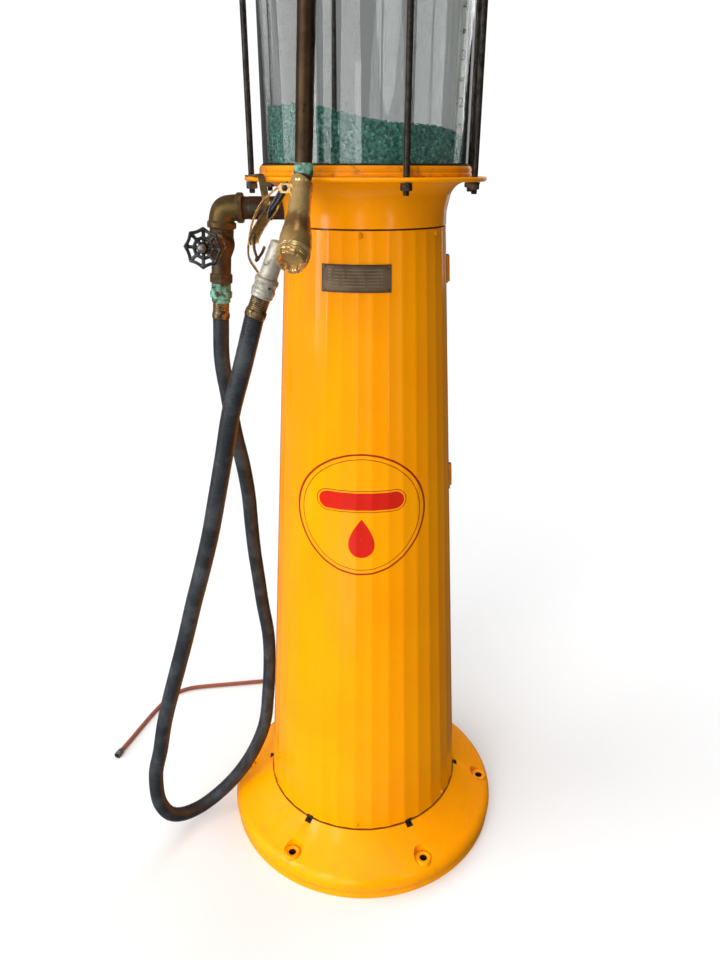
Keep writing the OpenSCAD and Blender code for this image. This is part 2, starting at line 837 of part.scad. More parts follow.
module cord_gland() {
  color(steel) translate([0, 332, 28]) rotate([-90, 0, 0]) difference() {
    union() {
      hexagon(26, 8);
      translate([0, 0, 8]) cylinder(r1 = 12, r2 = 8, h = 12);
    }
    translate([0, 0, -1]) cylinder(r = cord_r, h = 30);
  }
}

base_casting();
column_shell();
column_screws();
access_door();
door_hinge_leaves();
door_hinge_knuckles();
door_hinge_pins();
door_pull();
inner_frame();
neck_casting();
glass_seat_ring();
glass_gaskets();
glass_cylinder();
gauge_strip();
display_granules();
tie_rods();
rod_nuts();
rod_washers();
crown_casting();
globe_collar();
globe();
lamp_socket();
lamp_bulb();
suction_pipe();
riser_pipe();
pump_body();
pump_cover();
pump_cover_bolts();
pump_wing();
pump_shaft();
pump_lever();
lever_grip();
discharge_nipple();
discharge_elbow();
valve_body();
valve_bonnet();
packing_nut();
valve_stem();
valve_gate();
handwheel();
handwheel_nut();
hose_union();
upper_hose_tail();
discharge_hose();
lower_hose_tail();
nozzle_swivel();
nozzle_body();
nozzle_cap();
nozzle_spout();
nozzle_lever();
nozzle_lever_pin();
nozzle_guard();
nozzle_valve();
nozzle_spring();
nozzle_hook();
nameplate();
nameplate_rivets();
supply_cord();
cord_coupling();
cord_gland();
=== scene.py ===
"""Looks for a visible gas pump: a fluted column on a cast base, a glass measuring cylinder with a
heap of granules, a domed crown with a milk-glass globe, a hose on a gate valve and a brass nozzle.

Lengths are millimetres and are turned into metres when a mesh is made. The front faces -Y, +X is
to the right as seen from the front, and azimuths run from the front towards +X, in degrees.
"""

import math
import random

import bmesh
import bpy
import numpy as np
from mathutils import Matrix, Vector


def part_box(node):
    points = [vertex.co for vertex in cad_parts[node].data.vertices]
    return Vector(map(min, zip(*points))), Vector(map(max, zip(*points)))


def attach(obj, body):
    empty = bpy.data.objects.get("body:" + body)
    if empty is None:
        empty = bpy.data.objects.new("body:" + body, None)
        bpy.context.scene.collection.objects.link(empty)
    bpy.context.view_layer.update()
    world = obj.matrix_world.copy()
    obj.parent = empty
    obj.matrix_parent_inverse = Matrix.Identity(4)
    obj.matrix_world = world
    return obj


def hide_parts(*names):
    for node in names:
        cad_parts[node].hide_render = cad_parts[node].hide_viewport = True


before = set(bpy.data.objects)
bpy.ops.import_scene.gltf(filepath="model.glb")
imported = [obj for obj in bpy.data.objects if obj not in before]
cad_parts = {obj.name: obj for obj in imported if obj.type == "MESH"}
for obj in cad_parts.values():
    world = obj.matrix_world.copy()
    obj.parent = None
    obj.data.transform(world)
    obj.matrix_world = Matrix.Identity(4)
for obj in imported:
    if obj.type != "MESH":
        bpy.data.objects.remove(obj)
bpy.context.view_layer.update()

MM = 0.001
rad = math.radians
scene = bpy.context.scene


# ---- places, from the frame ----

def low(node):
    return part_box(node)[0] / MM


def high(node):
    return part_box(node)[1] / MM


def reach(node, z):
    """Largest distance from the column's axis of a node's points at a height."""
    points = [v.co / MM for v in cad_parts[node].data.vertices]
    return max(math.hypot(p.x, p.y) for p in points if abs(p.z - z) < 1.0)


BASE_R = high("base_casting").x
SEAM_Z = low("column_shell").z
NECK_Z = high("column_shell").z
FOOT_R = reach("column_shell", SEAM_Z)
HEAD_R = reach("column_shell", NECK_Z)
FLANGE_Z = high("neck_casting").z
FLANGE_R = high("neck_casting").x
GLASS_LOW, GLASS_HIGH = low("glass_cylinder").z, high("glass_cylinder").z
GLASS_R = high("glass_cylinder").x
GLASS_WALL = 8.0
CROWN_Z = low("crown_casting").z
CROWN_TOP = high("crown_casting").z
GLOBE_R = high("globe").x
GLOBE_HALF = high("globe").y
GLOBE_Z = high("globe").z - GLOBE_R
PUMP_Z = (low("pump_body").z + high("pump_body").z) / 2
WALL_TAPER = (FOOT_R - HEAD_R) / (NECK_Z - SEAM_Z)
WALL_TILT = math.atan(WALL_TAPER)
FLUTES = 36
PITCH = 360 / FLUTES
RIDGE_AZ = PITCH / 2
ANCHORS = 6
ANCHOR_AZ, ANCHOR_R, ANCHOR_HOLE = -32.5, 302.0, 17.5
SCREW_AZ = -3.5
RODS = 8
ROD_AZ, ROD_CIRCLE, ROD_R = 18.0, 215.0, 5.5
ROD_HOLE_R = 6.5
DOOR_AZ = (101.0, 149.0)
DOOR_Z = (low("access_door").z - 1, high("access_door").z + 1)


def wall_r(z):
    """Radius of the column's ridges at a height."""
    return FOOT_R - (z - SEAM_Z) * WALL_TAPER


def out(az, r, z=0.0):
    """A point at an azimuth, a radius and a height."""
    return Vector((r * math.sin(rad(az)), -r * math.cos(rad(az)), z))


def shift(x, y, z):
    return Matrix.Translation((x, y, z))


def turn(degrees, axis):
    return Matrix.Rotation(rad(degrees), 4, axis)


def aim(point, direction):
    """A place at a point whose +Z runs along a direction."""
    d = Vector(direction).normalized()
    return (Matrix.Translation(point) @ Matrix.Rotation(math.atan2(d.y, d.x), 4, "Z")
            @ Matrix.Rotation(math.acos(d.z), 4, "Y"))


def on_wall(az, z):
    """A place on the column whose +Z points out of the wall."""
    return (turn(az - 90, "Z") @ shift(wall_r(z), 0, z)
            @ Matrix.Rotation(-WALL_TILT, 4, "Y") @ turn(90, "Y"))


def rod_places(z=0.0):
    """The eight places on the flanges that the tie rods stand at."""
    return [Matrix.Translation(out(ROD_AZ + 360 / RODS * k, ROD_CIRCLE, z)) for k in range(RODS)]


GLAND = turn(-90, "X") @ shift(0, -28, 0)
ELBOW = Vector((-273.5, 0, 1449))
LEG = Matrix.Translation(ELBOW) @ Matrix.Rotation(math.atan2(16.5, 209), 4, "Y")
LEG_LEN = math.hypot(16.5, 209)
STEM = LEG @ shift(0, 0, -66) @ turn(-9, "Z") @ turn(90, "X")
MOUTH = Vector((-98, -250, 1504.5))
BARREL_WAY = (-0.103, -0.421, -0.901)
BARREL = aim(MOUTH, BARREL_WAY)
CAP = BARREL @ shift(0, 0, 115) @ turn(-26, "Y")
HOSE_END = Vector((-180, -285, 1295))
BRANCH = aim(HOSE_END, (0.37, 0, 0.929))
SPOUT_ROOT = BARREL @ Vector((0, 0, -8))
SPOUT = aim(SPOUT_ROOT, (0.05, -0.015, 0.9986))
LEVER_PIVOT = Vector((-126, -252, 1490))
GRIP_TOP = Vector((-148, -252, 1459))
GRIP_END = Vector((-178, -262, 1414))
STRAP_END = Vector((-173, -268, 1384))
LINK_END = Vector((-160, -273, 1403))


# ---- camera and light ----

SURROUND = 0.16
BEHIND_GLASS = 0.34
BACKDROP = 1.05


def make_camera():
    """A phone's view from just above the flange, looking down."""
    down, roll, yaw = rad(22.77), rad(0.11), rad(-0.35)
    forward = Vector((math.sin(yaw) * math.cos(down), math.cos(yaw) * math.cos(down),
                      -math.sin(down)))
    level = Vector((math.cos(yaw), -math.sin(yaw), 0))
    above = level.cross(forward)
    right = level * math.cos(roll) + above * math.sin(roll)
    up = above * math.cos(roll) - level * math.sin(roll)
    camera = bpy.data.objects.new("camera", bpy.data.cameras.new("camera"))
    camera.data.sensor_fit = "VERTICAL"
    camera.data.sensor_height = 36
    camera.data.sensor_width = 36
    camera.data.lens = 27.75
    camera.matrix_world = Matrix.Translation((0, -1.5, 1.517)) @ Matrix(
        (right, up, -forward)).transposed().to_4x4()
    scene.collection.objects.link(camera)
    scene.camera = camera


def add_light(name, data, at, towards, diffuse=True, glossy=True):
    light = bpy.data.objects.new(name, data)
    light.location = at
    light.rotation_euler = (Vector(towards) - Vector(at)).to_track_quat("-Z", "Y").to_euler()
    light.visible_camera = False
    light.visible_diffuse = diffuse
    light.visible_glossy = glossy
    light.visible_transmission = data.type == "SUN"
    scene.collection.objects.link(light)


def soft_box(name, at, towards, size, radiance, diffuse=False, glossy=True):
    """A rectangular light of an even radiance. Without diffuse it only makes highlights."""
    data = bpy.data.lights.new(name, "AREA")
    data.shape = "RECTANGLE"
    data.size, data.size_y = size
    data.energy = radiance * math.pi * size[0] * size[1]
    add_light(name, data, at, towards, diffuse, glossy)


def far_light(name, energy, angle, azimuth, height):
    """A distant light from an azimuth and a height above the floor, in degrees."""
    data = bpy.data.lights.new(name, "SUN")
    data.energy = energy
    data.angle = rad(angle)
    at = out(azimuth, math.cos(rad(height)), math.sin(rad(height)))
    add_light(name, data, at, (0, 0, 0), glossy=False)


def make_studio():
    """Soft light from the front left, stronger low down, and strips for highlights."""
    scene.view_settings.view_transform = "Standard"
    world = bpy.data.worlds.new("studio")
    scene.world = world
    world.use_nodes = True
    nodes, links = world.node_tree.nodes, world.node_tree.links
    nodes.clear()
    path = nodes.new("ShaderNodeLightPath")
    split = nodes.new("ShaderNodeSeparateXYZ")
    links.new(nodes.new("ShaderNodeTexCoord").outputs["Generated"], split.inputs[0])
    mirrored = nodes.new("ShaderNodeMapRange")
    links.new(split.outputs[0], mirrored.inputs["Value"])
    for socket, value in (("From Min", -1), ("From Max", 0.7), ("To Min", 0.24),
                          ("To Max", 0.03)):
        mirrored.inputs[socket].default_value = value
    surround = nodes.new("ShaderNodeBackground")
    surround.inputs["Color"].default_value = (0.95, 0.97, 1, 1)
    surround.inputs["Strength"].default_value = SURROUND
    last = surround
    for ray, strength in (("Is Glossy Ray", mirrored), ("Is Transmission Ray", BEHIND_GLASS),
                          ("Is Camera Ray", BACKDROP)):
        seen = nodes.new("ShaderNodeBackground")
        seen.inputs["Color"].default_value = (1, 1, 1, 1)
        if ray == "Is Glossy Ray":
            links.new(strength.outputs[0], seen.inputs["Strength"])
        else:
            seen.inputs["Strength"].default_value = strength
        mixed = nodes.new("ShaderNodeMixShader")
        links.new(path.outputs[ray], mixed.inputs[0])
        links.new(last.outputs[0], mixed.inputs[1])
        links.new(seen.outputs[0], mixed.inputs[2])
        last = mixed
    output = nodes.new("ShaderNodeOutputWorld")
    links.new(last.outputs[0], output.inputs["Surface"])
    for name, energy, angle, azimuth, height in (
            ("key", 2.15, 40, -26, 24), ("left", 2.3, 50, -80, 18), ("back", 1.3, 50, 149, 32),
            ("above", 1.5, 60, -20, 80), ("bounce", 1.1, 60, 5, -68)):
        far_light(name, energy, angle, azimuth, height)
    soft_box("low_front", (-0.6, -1.5, 0.15), (0, 0, 0.35), (0.9, 0.5), 4.8, True, False)
    for name, at, aim_z, size, radiance in (
            ("window_left", (-2.3, -1.6, 1.7), 1.0, (0.5, 1.6), 6),
            ("window_front", (-0.36, -2.7, 1.05), 1.1, (0.3, 1.3), 2.4),
            ("strip_left", (-1.3, -2.4, 1.9), 0.8, (0.12, 1.5), 14),
            ("strip_right", (1.5, -2.3, 1.3), 1.1, (0.07, 1.8), 9),
            ("window_back", (1.6, 2.8, 1.8), 1.1, (0.8, 1.8), 0.7),
            ("top", (0.2, -0.7, 4.4), 1.0, (1.2, 1.2), 2)):
        soft_box(name, at, (0, 0, aim_z), size, radiance)


# ---- materials ----

def srgb(r, g, b):
    """A linear colour from 0 to 255 display values."""
    def linear(c):
        c /= 255
        return c / 12.92 if c <= 0.04045 else ((c + 0.055) / 1.055) ** 2.4
    return (linear(r), linear(g), linear(b), 1.0)


class Net:
    """A material's node network, with short calls for what most finishes need."""

    def __init__(self, name):
        self.material = bpy.data.materials.new(name)
        self.material.use_nodes = True
        self.nodes = self.material.node_tree.nodes
        self.links = self.material.node_tree.links
        self.nodes.clear()
        self.shader = self.make("ShaderNodeBsdfPrincipled")
        output = self.make("ShaderNodeOutputMaterial")
        self.links.new(self.shader.outputs["BSDF"], output.inputs["Surface"])
        self.place = self.make("ShaderNodeTexCoord").outputs["Object"]

    def make(self, kind, **settings):
        node = self.nodes.new(kind)
        for key, value in settings.items():
            setattr(node, key, value)
        return node

    def feed(self, socket, value):
        if isinstance(value, bpy.types.NodeSocket):
            self.links.new(value, socket)
        else:
            socket.default_value = value

    def surface(self, **inputs):
        for key, value in inputs.items():
            self.feed(self.shader.inputs[key.replace("_", " ")], value)

    def math(self, operation, a, b=0.0):
        node = self.make("ShaderNodeMath", operation=operation)
        self.feed(node.inputs[0], a)
        self.feed(node.inputs[1], b)
        return node.outputs[0]

    def axes(self):
        """The X, Y and Z of the shaded point, in millimetres."""
        node = self.make("ShaderNodeSeparateXYZ")
        self.feed(node.inputs[0], self.place)
        return [self.math("MULTIPLY", node.outputs[k], 1 / MM) for k in range(3)]

    def noise(self, size, detail=3.0, rough=0.55, stretch=(1, 1, 1), seed=0.0, warp=0.0):
        """Noise from 0 to 1 whose blobs are about size across, drawn out by stretch."""
        mapping = self.make("ShaderNodeMapping")
        self.feed(mapping.inputs["Vector"], self.place)
        mapping.inputs["Location"].default_value = (seed, seed * 0.7, seed * 1.3)
        mapping.inputs["Scale"].default_value = [1 / s for s in stretch]
        node = self.make("ShaderNodeTexNoise")
        self.feed(node.inputs["Vector"], mapping.outputs[0])
        node.inputs["Scale"].default_value = 1 / (size * MM)
        node.inputs["Detail"].default_value = detail
        node.inputs["Roughness"].default_value = rough
        node.inputs["Distortion"].default_value = warp
        return node.outputs[0]

    def cells(self, size, output="Distance"):
        node = self.make("ShaderNodeTexVoronoi")
        self.feed(node.inputs["Vector"], self.place)
        node.inputs["Scale"].default_value = 1 / (size * MM)
        return node.outputs[output]

    def step(self, value, start, end):
        """0 at start and 1 at end, smooth between."""
        node = self.make("ShaderNodeMapRange", interpolation_type="SMOOTHSTEP")
        self.feed(node.inputs["Value"], value)
        node.inputs["From Min"].default_value = start
        node.inputs["From Max"].default_value = end
        return node.outputs[0]

    def span(self, value, start, end):
        """Maps 0 to 1 onto start to end."""
        node = self.make("ShaderNodeMapRange")
        self.feed(node.inputs["Value"], value)
        node.inputs["To Min"].default_value = start
        node.inputs["To Max"].default_value = end
        return node.outputs[0]

    def mix(self, amount, a, b):
        node = self.make("ShaderNodeMix", data_type="RGBA")
        self.feed(node.inputs[0], amount)
        self.feed(node.inputs[6], a)
        self.feed(node.inputs[7], b)
        return node.outputs[2]

    def both(self, a, b):
        return self.math("MULTIPLY", a, b)

    def either(self, a, b):
        return self.math("MAXIMUM", a, b)

    def edges(self, start=0.51, end=0.58):
        """1 on sharp outer edges."""
        return self.step(self.make("ShaderNodeNewGeometry").outputs["Pointiness"], start, end)

    def bump(self, height, depth, under=None):
        node = self.make("ShaderNodeBump")
        node.inputs["Strength"].default_value = 1.0
        node.inputs["Distance"].default_value = depth * MM
        self.feed(node.inputs["Height"], height)
        if under is not None:
            self.feed(node.inputs["Normal"], under)
        return node.outputs[0]


def emblem(net, paint):
    """A plain round badge painted on the front: two rings, a bar and a drop."""
    x, y, z = net.axes()
    x = net.math("ADD", x, 5)
    z = net.math("SUBTRACT", z, 887)
    r = net.math("SQRT", net.math("ADD", net.both(x, x), net.both(z, z)))
    facing = net.make("ShaderNodeSeparateXYZ")
    net.feed(facing.inputs[0], net.make("ShaderNodeTexCoord").outputs["Normal"])
    front = net.both(net.step(y, -60, -70), net.step(facing.outputs[1], 0, -0.2))
    worn = net.step(net.noise(5, 4, 0.7, seed=3), 0.26, 0.34)

    def band(value, middle, half):
        away = net.math("ABSOLUTE", net.math("SUBTRACT", value, middle))
        return net.step(away, half + 0.35, half - 0.35)

    wide_x = net.math("MAXIMUM", net.math("SUBTRACT", net.math("ABSOLUTE", x), 66), 0)
    bar_z = net.math("SUBTRACT", z, 30)
    bar = net.math("SQRT", net.math("ADD", net.both(wide_x, wide_x), net.both(bar_z, bar_z)))
    fall = net.math("DIVIDE", net.math("SUBTRACT", -6, z), 84)
    fall = net.math("MINIMUM", net.math("MAXIMUM", fall, 0), 1)
    width = net.both(net.both(fall, net.math("SQRT", net.math("SUBTRACT", 1, fall))), 70)
    drop = net.step(net.math("SUBTRACT", width, net.math("ABSOLUTE", x)), 0.1, 0.9)
    disc = net.both(net.step(r, 124.5, 123.5), front)
    paint = net.mix(disc, paint, srgb(252, 160, 2))
    maroon = net.either(band(r, 126.5, 1.9), band(r, 117, 0.8))
    maroon = net.either(maroon, band(bar, 22, 0.8))
    paint = net.mix(net.both(net.both(maroon, front), worn), paint, srgb(150, 38, 20))
    red = net.either(net.step(bar, 18.3, 17.7), drop)
    return net.mix(net.both(net.both(red, front), worn), paint, srgb(205, 34, 22))


def yellow_paint(name, badge=False, rough_cast=0.0, worn=False):
    """Glossy yellow enamel with faint mottling, grime low down and a few chips."""
    net = Net(name)
    _, _, z = net.axes()
    colour = net.mix(net.step(net.noise(200, 3), 0.35, 0.7), srgb(251, 157, 0), srgb(248, 150, 0))
    streaks = net.noise(26, 4, 0.6, (1, 1, 14), seed=5)
    colour = net.mix(net.both(net.step(streaks, 0.5, 0.75), 0.3), colour, srgb(242, 142, 1))
    if badge:
        colour = emblem(net, colour)
    if worn:
        patches = net.step(net.noise(24, 6, 0.72, warp=0.5, seed=12), 0.5, 0.66)
        colour = net.mix(net.both(patches, 0.7), srgb(228, 140, 6), srgb(138, 92, 46))
    lower = net.step(z, 170, 20)
    grime = net.both(net.step(net.noise(34, 6, 0.7, warp=0.4), 0.5, 0.72), lower)
    colour = net.mix(net.both(grime, 0.45), colour, srgb(176, 108, 22))
    # Painted shade: a dark brown band along the foot and head joints, where the gap between the parts
    # is in shade.
    for joint, half in ((SEAM_Z + 0.3, 1.5), (NECK_Z + 0.1, 1.6)):
        away = net.math("ABSOLUTE", net.math("SUBTRACT", z, joint))
        colour = net.mix(net.both(net.step(away, half + 0.4, half - 0.3), 0.85), colour,
                         srgb(84, 42, 10))
    flecks = net.step(net.noise(4.2, 2, 0.5, seed=9), 0.735, 0.77)
    spread = net.step(net.noise(70, 2, seed=2), 0.46, 0.62)
    chips = net.both(net.both(flecks, spread), net.span(lower, 0.25, 1))
    colour = net.mix(net.both(chips, 0.85), colour, srgb(74, 50, 26))
    gloss = net.span(net.noise(55, 4, 0.6, seed=1), 0.1, 0.26)
    peel = net.bump(net.noise(5.5, 2, 0.45), 0.09)
    normal = net.bump(net.noise(30, 3, 0.5, seed=4), 0.3 + rough_cast, peel)
    normal = net.bump(net.both(chips, -1), 0.15, normal)
    net.surface(Base_Color=colour, Roughness=net.math("ADD", gloss, net.both(grime, 0.3)),
                Normal=normal)
    net.surface(Specular_IOR_Level=0.3)
    return net.material


# Each metal's main, second, dark and rubbed colours, then its roughness from and to, how metallic
# it is, how coarse its surface is, the size of its blotches and where its tarnish starts.
METALS = {
    "aged_steel": ((66, 60, 52), (50, 44, 38), (32, 26, 22), (130, 122, 110),
                   (0.3, 0.46), 0.8, 1.0, 16, 0.54),
    "bronze_dark": ((118, 96, 54), (92, 70, 42), (44, 34, 26), (196, 164, 102),
                    (0.3, 0.5), 0.7, 1.0, 26, 0.54),
    "bronze_black": ((88, 78, 64), (68, 58, 48), (34, 30, 26), (160, 140, 106),
                     (0.3, 0.5), 0.7, 1.0, 24, 0.54),
    "valve_bronze": ((98, 78, 50), (74, 56, 38), (36, 29, 22), (176, 146, 92),
                     (0.34, 0.55), 0.6, 1.2, 20, 0.54),
    "spout_brown": ((92, 72, 50), (74, 58, 42), (44, 34, 26), (150, 128, 94),
                    (0.34, 0.5), 0.85, 1.0, 34, 0.54),
    "nozzle_brass": ((232, 194, 128), (206, 162, 98), (118, 86, 52), (250, 230, 184),
                     (0.2, 0.34), 0.72, 0.6, 34, 0.58),
    "lever_gold": ((214, 160, 84), (196, 150, 96), (110, 74, 40), (250, 226, 180),
                   (0.2, 0.36), 1.0, 0.6, 20, 0.6),
    "ferrule": ((186, 160, 112), (150, 126, 92), (58, 50, 38), (236, 224, 190),
                (0.3, 0.5), 0.95, 1.2, 10, 0.5),
    "pot_metal": ((206, 200, 186), (182, 174, 158), (96, 84, 68), (236, 230, 216),
                  (0.34, 0.52), 0.6, 1.3, 14, 0.54),
    "zinc": ((172, 172, 168), (142, 142, 138), (84, 80, 74), (224, 224, 220),
             (0.28, 0.46), 0.95, 1.0, 10, 0.54),
}


def worn_metal(name):
    """Old bare metal: two tones in blotches, dark tarnish in patches, rubbed bright edges."""
    *tones, rough, metallic, grain, blotch, dark_from = METALS[name]
    main, second, dark, bright = (srgb(*tone) for tone in tones)
    net = Net(name)
    colour = net.mix(net.step(net.noise(blotch, 5, 0.6, warp=0.6), 0.38, 0.62), main, second)
    patches = net.step(net.noise(blotch * 1.6, 5, 0.62, seed=7, warp=0.8), dark_from,
                       dark_from + 0.12)
    colour = net.mix(net.both(patches, 0.85), colour, dark)
    pits = net.step(net.noise(2.2, 3, 0.6, seed=11), 0.66, 0.76)
    colour = net.mix(net.both(pits, 0.6), colour, dark)
    rubbed = net.both(net.edges(), net.step(net.noise(9, 4, seed=13), 0.35, 0.6))
    colour = net.mix(net.both(rubbed, 0.85), colour, bright)
    height = net.noise(1.6, 4, 0.6, seed=2)
    normal = net.bump(height, 0.10 * grain)
    normal = net.bump(net.noise(11, 3, 0.5, seed=3), 0.35 * grain, normal)
    normal = net.bump(net.both(pits, -1), 0.12 * grain, normal)
    roughness = net.span(net.noise(7, 4, 0.6, seed=5), *rough)
    net.surface(Base_Color=colour, Normal=normal,
                Roughness=net.math("ADD", roughness, net.both(patches, 0.12)))
    net.surface(Metallic=metallic)
    return net.material


def ruled_bronze():
    """The blank nameplate's dull bronze, lighter on its broken ruled lines."""
    net = Net("plate_bronze")
    x, _, z = net.axes()
    tone = net.mix(net.step(net.noise(34, 4), 0.35, 0.65), srgb(112, 94, 72), srgb(92, 76, 58))
    row = net.math("FRACT", net.math("DIVIDE", net.math("SUBTRACT", z, 1317.2), 5.6))
    line = net.step(net.math("ABSOLUTE", net.math("SUBTRACT", row, 0.5)), 0.24, 0.14)
    inside = net.step(net.math("ABSOLUTE", net.math("ADD", x, 17)), 51, 47)
    inside = net.both(inside, net.step(net.math("ABSOLUTE", net.math("SUBTRACT", z, 1340)), 17, 16))
    broken = net.step(net.noise(5, 1, 0.5, (1, 1, 12), seed=3), 0.4, 0.5)
    lines = net.both(net.both(line, inside), broken)
    colour = net.mix(net.both(lines, 0.42), tone, srgb(158, 140, 110))
    edge = net.math("ABSOLUTE", net.math("SUBTRACT", z, 1339))
    colour = net.mix(net.both(net.step(edge, 20.4, 21.4), 0.5), colour, srgb(56, 44, 32))
    net.surface(Base_Color=colour, Roughness=net.span(net.noise(9, 3), 0.36, 0.5),
                Normal=net.bump(net.noise(2, 3), 0.08))
    net.surface(Metallic=0.45)
    return net.material


def barrel_brass():
    """Brass: rubbed edges, a painted highlight on the throat, a brown tarnish where it swells."""
    net = Net("barrel_brass")
    along = net.both(net.math("SUBTRACT", net.noise(20, 3), 0.5), 26)
    for value, start, part in zip(net.axes(), MOUTH, BARREL_WAY):
        along = net.math("ADD", along, net.both(net.math("SUBTRACT", value, start), part))
    brown = net.both(net.step(along, 56, 70), net.step(along, 98, 80))
    # Painted highlight: bright marks a lighter band along the throat that stands in for the
    # reflection of the light there.
    bright = net.both(net.step(along, 14, 26), net.step(along, 64, 52))
    colour = net.mix(net.step(net.noise(30, 5, 0.6, warp=0.5), 0.36, 0.64),
                     srgb(242, 202, 134), srgb(212, 166, 98))
    # Paints the highlight band.
    colour = net.mix(net.both(bright, 0.7), colour, srgb(250, 212, 140))
    colour = net.mix(net.both(brown, 0.75), colour, srgb(134, 92, 54))
    pits = net.step(net.noise(3, 3, 0.6, seed=11), 0.68, 0.76)
    colour = net.mix(net.both(pits, 0.6), colour, srgb(96, 70, 42))
    rubbed = net.both(net.edges(), net.step(net.noise(9, 4, seed=13), 0.3, 0.55))
    colour = net.mix(net.both(rubbed, 0.85), colour, srgb(255, 236, 190))
    normal = net.bump(net.noise(14, 3, 0.5, seed=3), 0.35)
    net.surface(Base_Color=colour, Roughness=net.span(net.noise(10, 4, seed=5), 0.16, 0.34),
                Normal=net.bump(net.noise(1.6, 3), 0.05, normal))
    net.surface(Metallic=0.8)
    return net.material


def verdigris():
    """Bronze with a thick green crust."""
    net = Net("verdigris_brass")
    crust = net.step(net.noise(16, 6, 0.65, warp=0.7), 0.36, 0.52)
    green = net.mix(net.step(net.noise(6, 5, 0.7, seed=3), 0.35, 0.65), srgb(96, 160, 134),
                    srgb(140, 180, 160))
    green = net.mix(net.step(net.noise(10, 5, 0.6, seed=8), 0.5, 0.72), green, srgb(52, 92, 80))
    metal = net.mix(net.step(net.noise(8, 4), 0.4, 0.6), srgb(120, 112, 88), srgb(70, 66, 54))
    normal = net.bump(net.noise(3, 6, 0.7), 0.5)
    normal = net.bump(net.both(crust, net.noise(9, 5, 0.6)), 0.8, normal)
    net.surface(Base_Color=net.mix(crust, metal, green), Normal=normal,
                Roughness=net.span(crust, 0.5, 0.92),
                Metallic=net.span(crust, 0.85, 0.0))
    return net.material


def black_enamel():
    """Thick black paint, dusty in places and worn at its edges."""
    net = Net("black_iron")
    dust = net.step(net.noise(14, 5, 0.7), 0.5, 0.75)
    colour = net.mix(net.both(dust, 0.4), srgb(9, 9, 10), srgb(38, 36, 34))
    colour = net.mix(net.both(net.edges(0.53, 0.62), net.step(net.noise(4, 4), 0.5, 0.6)),
                     colour, srgb(110, 104, 96))
    normal = net.bump(net.noise(2.5, 3), 0.12)
    normal = net.bump(net.noise(9, 3, seed=2), 0.35, normal)
    net.surface(Base_Color=colour, Normal=normal, Roughness=net.span(dust, 0.16, 0.42))
    net.surface(Coat_Weight=0.6, Coat_Roughness=0.08)
    return net.material


def rubber(name, main, dusty, size=9.0, rough=(0.42, 0.7), grain=0.2):
    """Rubber with dust and scuffs of one colour."""
    net = Net(name)
    dust = net.step(net.noise(size * 4, 5, 0.65, warp=0.4), 0.42, 0.72)
    colour = net.mix(net.both(dust, 0.65), main, dusty)
    scuffs = net.step(net.noise(size * 0.6, 4, 0.7, seed=4), 0.63, 0.72)
    colour = net.mix(net.both(scuffs, 0.35), colour, dusty)
    normal = net.bump(net.noise(0.9, 3, 0.6), grain)
    net.surface(Base_Color=colour, Normal=normal, Roughness=net.span(dust, *rough))
    return net.material


def clear_glass():
    """Slightly smoky glass with faint smears."""
    net = Net("clear_glass")
    smears = net.noise(60, 5, 0.6, (1, 1, 6))
    net.surface(Roughness=net.span(net.step(smears, 0.5, 0.8), 0.01, 0.06),
                Normal=net.bump(net.noise(90, 2), 0.25))
    net.surface(Base_Color=(0.78, 0.80, 0.79, 1), Transmission_Weight=1.0, IOR=1.47)
    return net.material


def milk_glass():
    """Opal glass, glossy outside."""
    net = Net("milk_glass")
    colour = net.mix(net.noise(120, 3), srgb(244, 242, 234), srgb(232, 229, 218))
    net.surface(Base_Color=colour, Roughness=net.span(net.noise(40, 4), 0.1, 0.2),
                Normal=net.bump(net.noise(70, 2), 0.4))
    net.surface(Subsurface_Weight=0.25, Coat_Weight=0.5, Coat_Roughness=0.05)
    return net.material


def granule_glass():
    """Broken stones in several greens, each with its own tone."""
    net = Net("granule_glass")
    tone = net.make("ShaderNodeSeparateColor")
    net.feed(tone.inputs[0], net.cells(4.2, "Color"))
    colour = net.mix(net.step(tone.outputs[0], 0.2, 0.7), srgb(46, 112, 100), srgb(84, 154, 138))
    colour = net.mix(net.step(tone.outputs[1], 0.86, 0.98), colour, srgb(128, 190, 174))
    colour = net.mix(net.step(tone.outputs[2], 0.82, 0.94), colour, srgb(36, 98, 86))
    net.surface(Base_Color=colour, Roughness=net.span(tone.outputs[2], 0.25, 0.6),
                Normal=net.bump(net.noise(1.5, 4, 0.6), 0.2))
    return net.material


def gauge_white():
    """Yellowed white enamel."""
    net = Net("gauge_white")
    stain = net.step(net.noise(40, 5, 0.6, (1, 1, 3)), 0.45, 0.75)
    net.surface(Base_Color=net.mix(stain, srgb(206, 207, 202), srgb(184, 182, 172)),
                Normal=net.bump(net.noise(3, 3), 0.05), Roughness=net.span(stain, 0.4, 0.6))
    return net.material


def braided_cover():
    """A reddish woven cord cover, its threads drawn by one fine noise."""
    net = Net("cord_cover")
    dirt = net.step(net.noise(45, 5, 0.6), 0.45, 0.7)
    colour = net.mix(dirt, srgb(146, 78, 54), srgb(104, 64, 50))
    threads = net.noise(1.1, 2, 0.5)
    colour = net.mix(net.both(net.step(threads, 0.5, 0.7), 0.5), colour, srgb(96, 52, 40))
    net.surface(Base_Color=colour, Normal=net.bump(threads, 0.3),
                Roughness=net.span(threads, 0.6, 0.85))
    net.surface(Sheen_Weight=0.25)
    return net.material


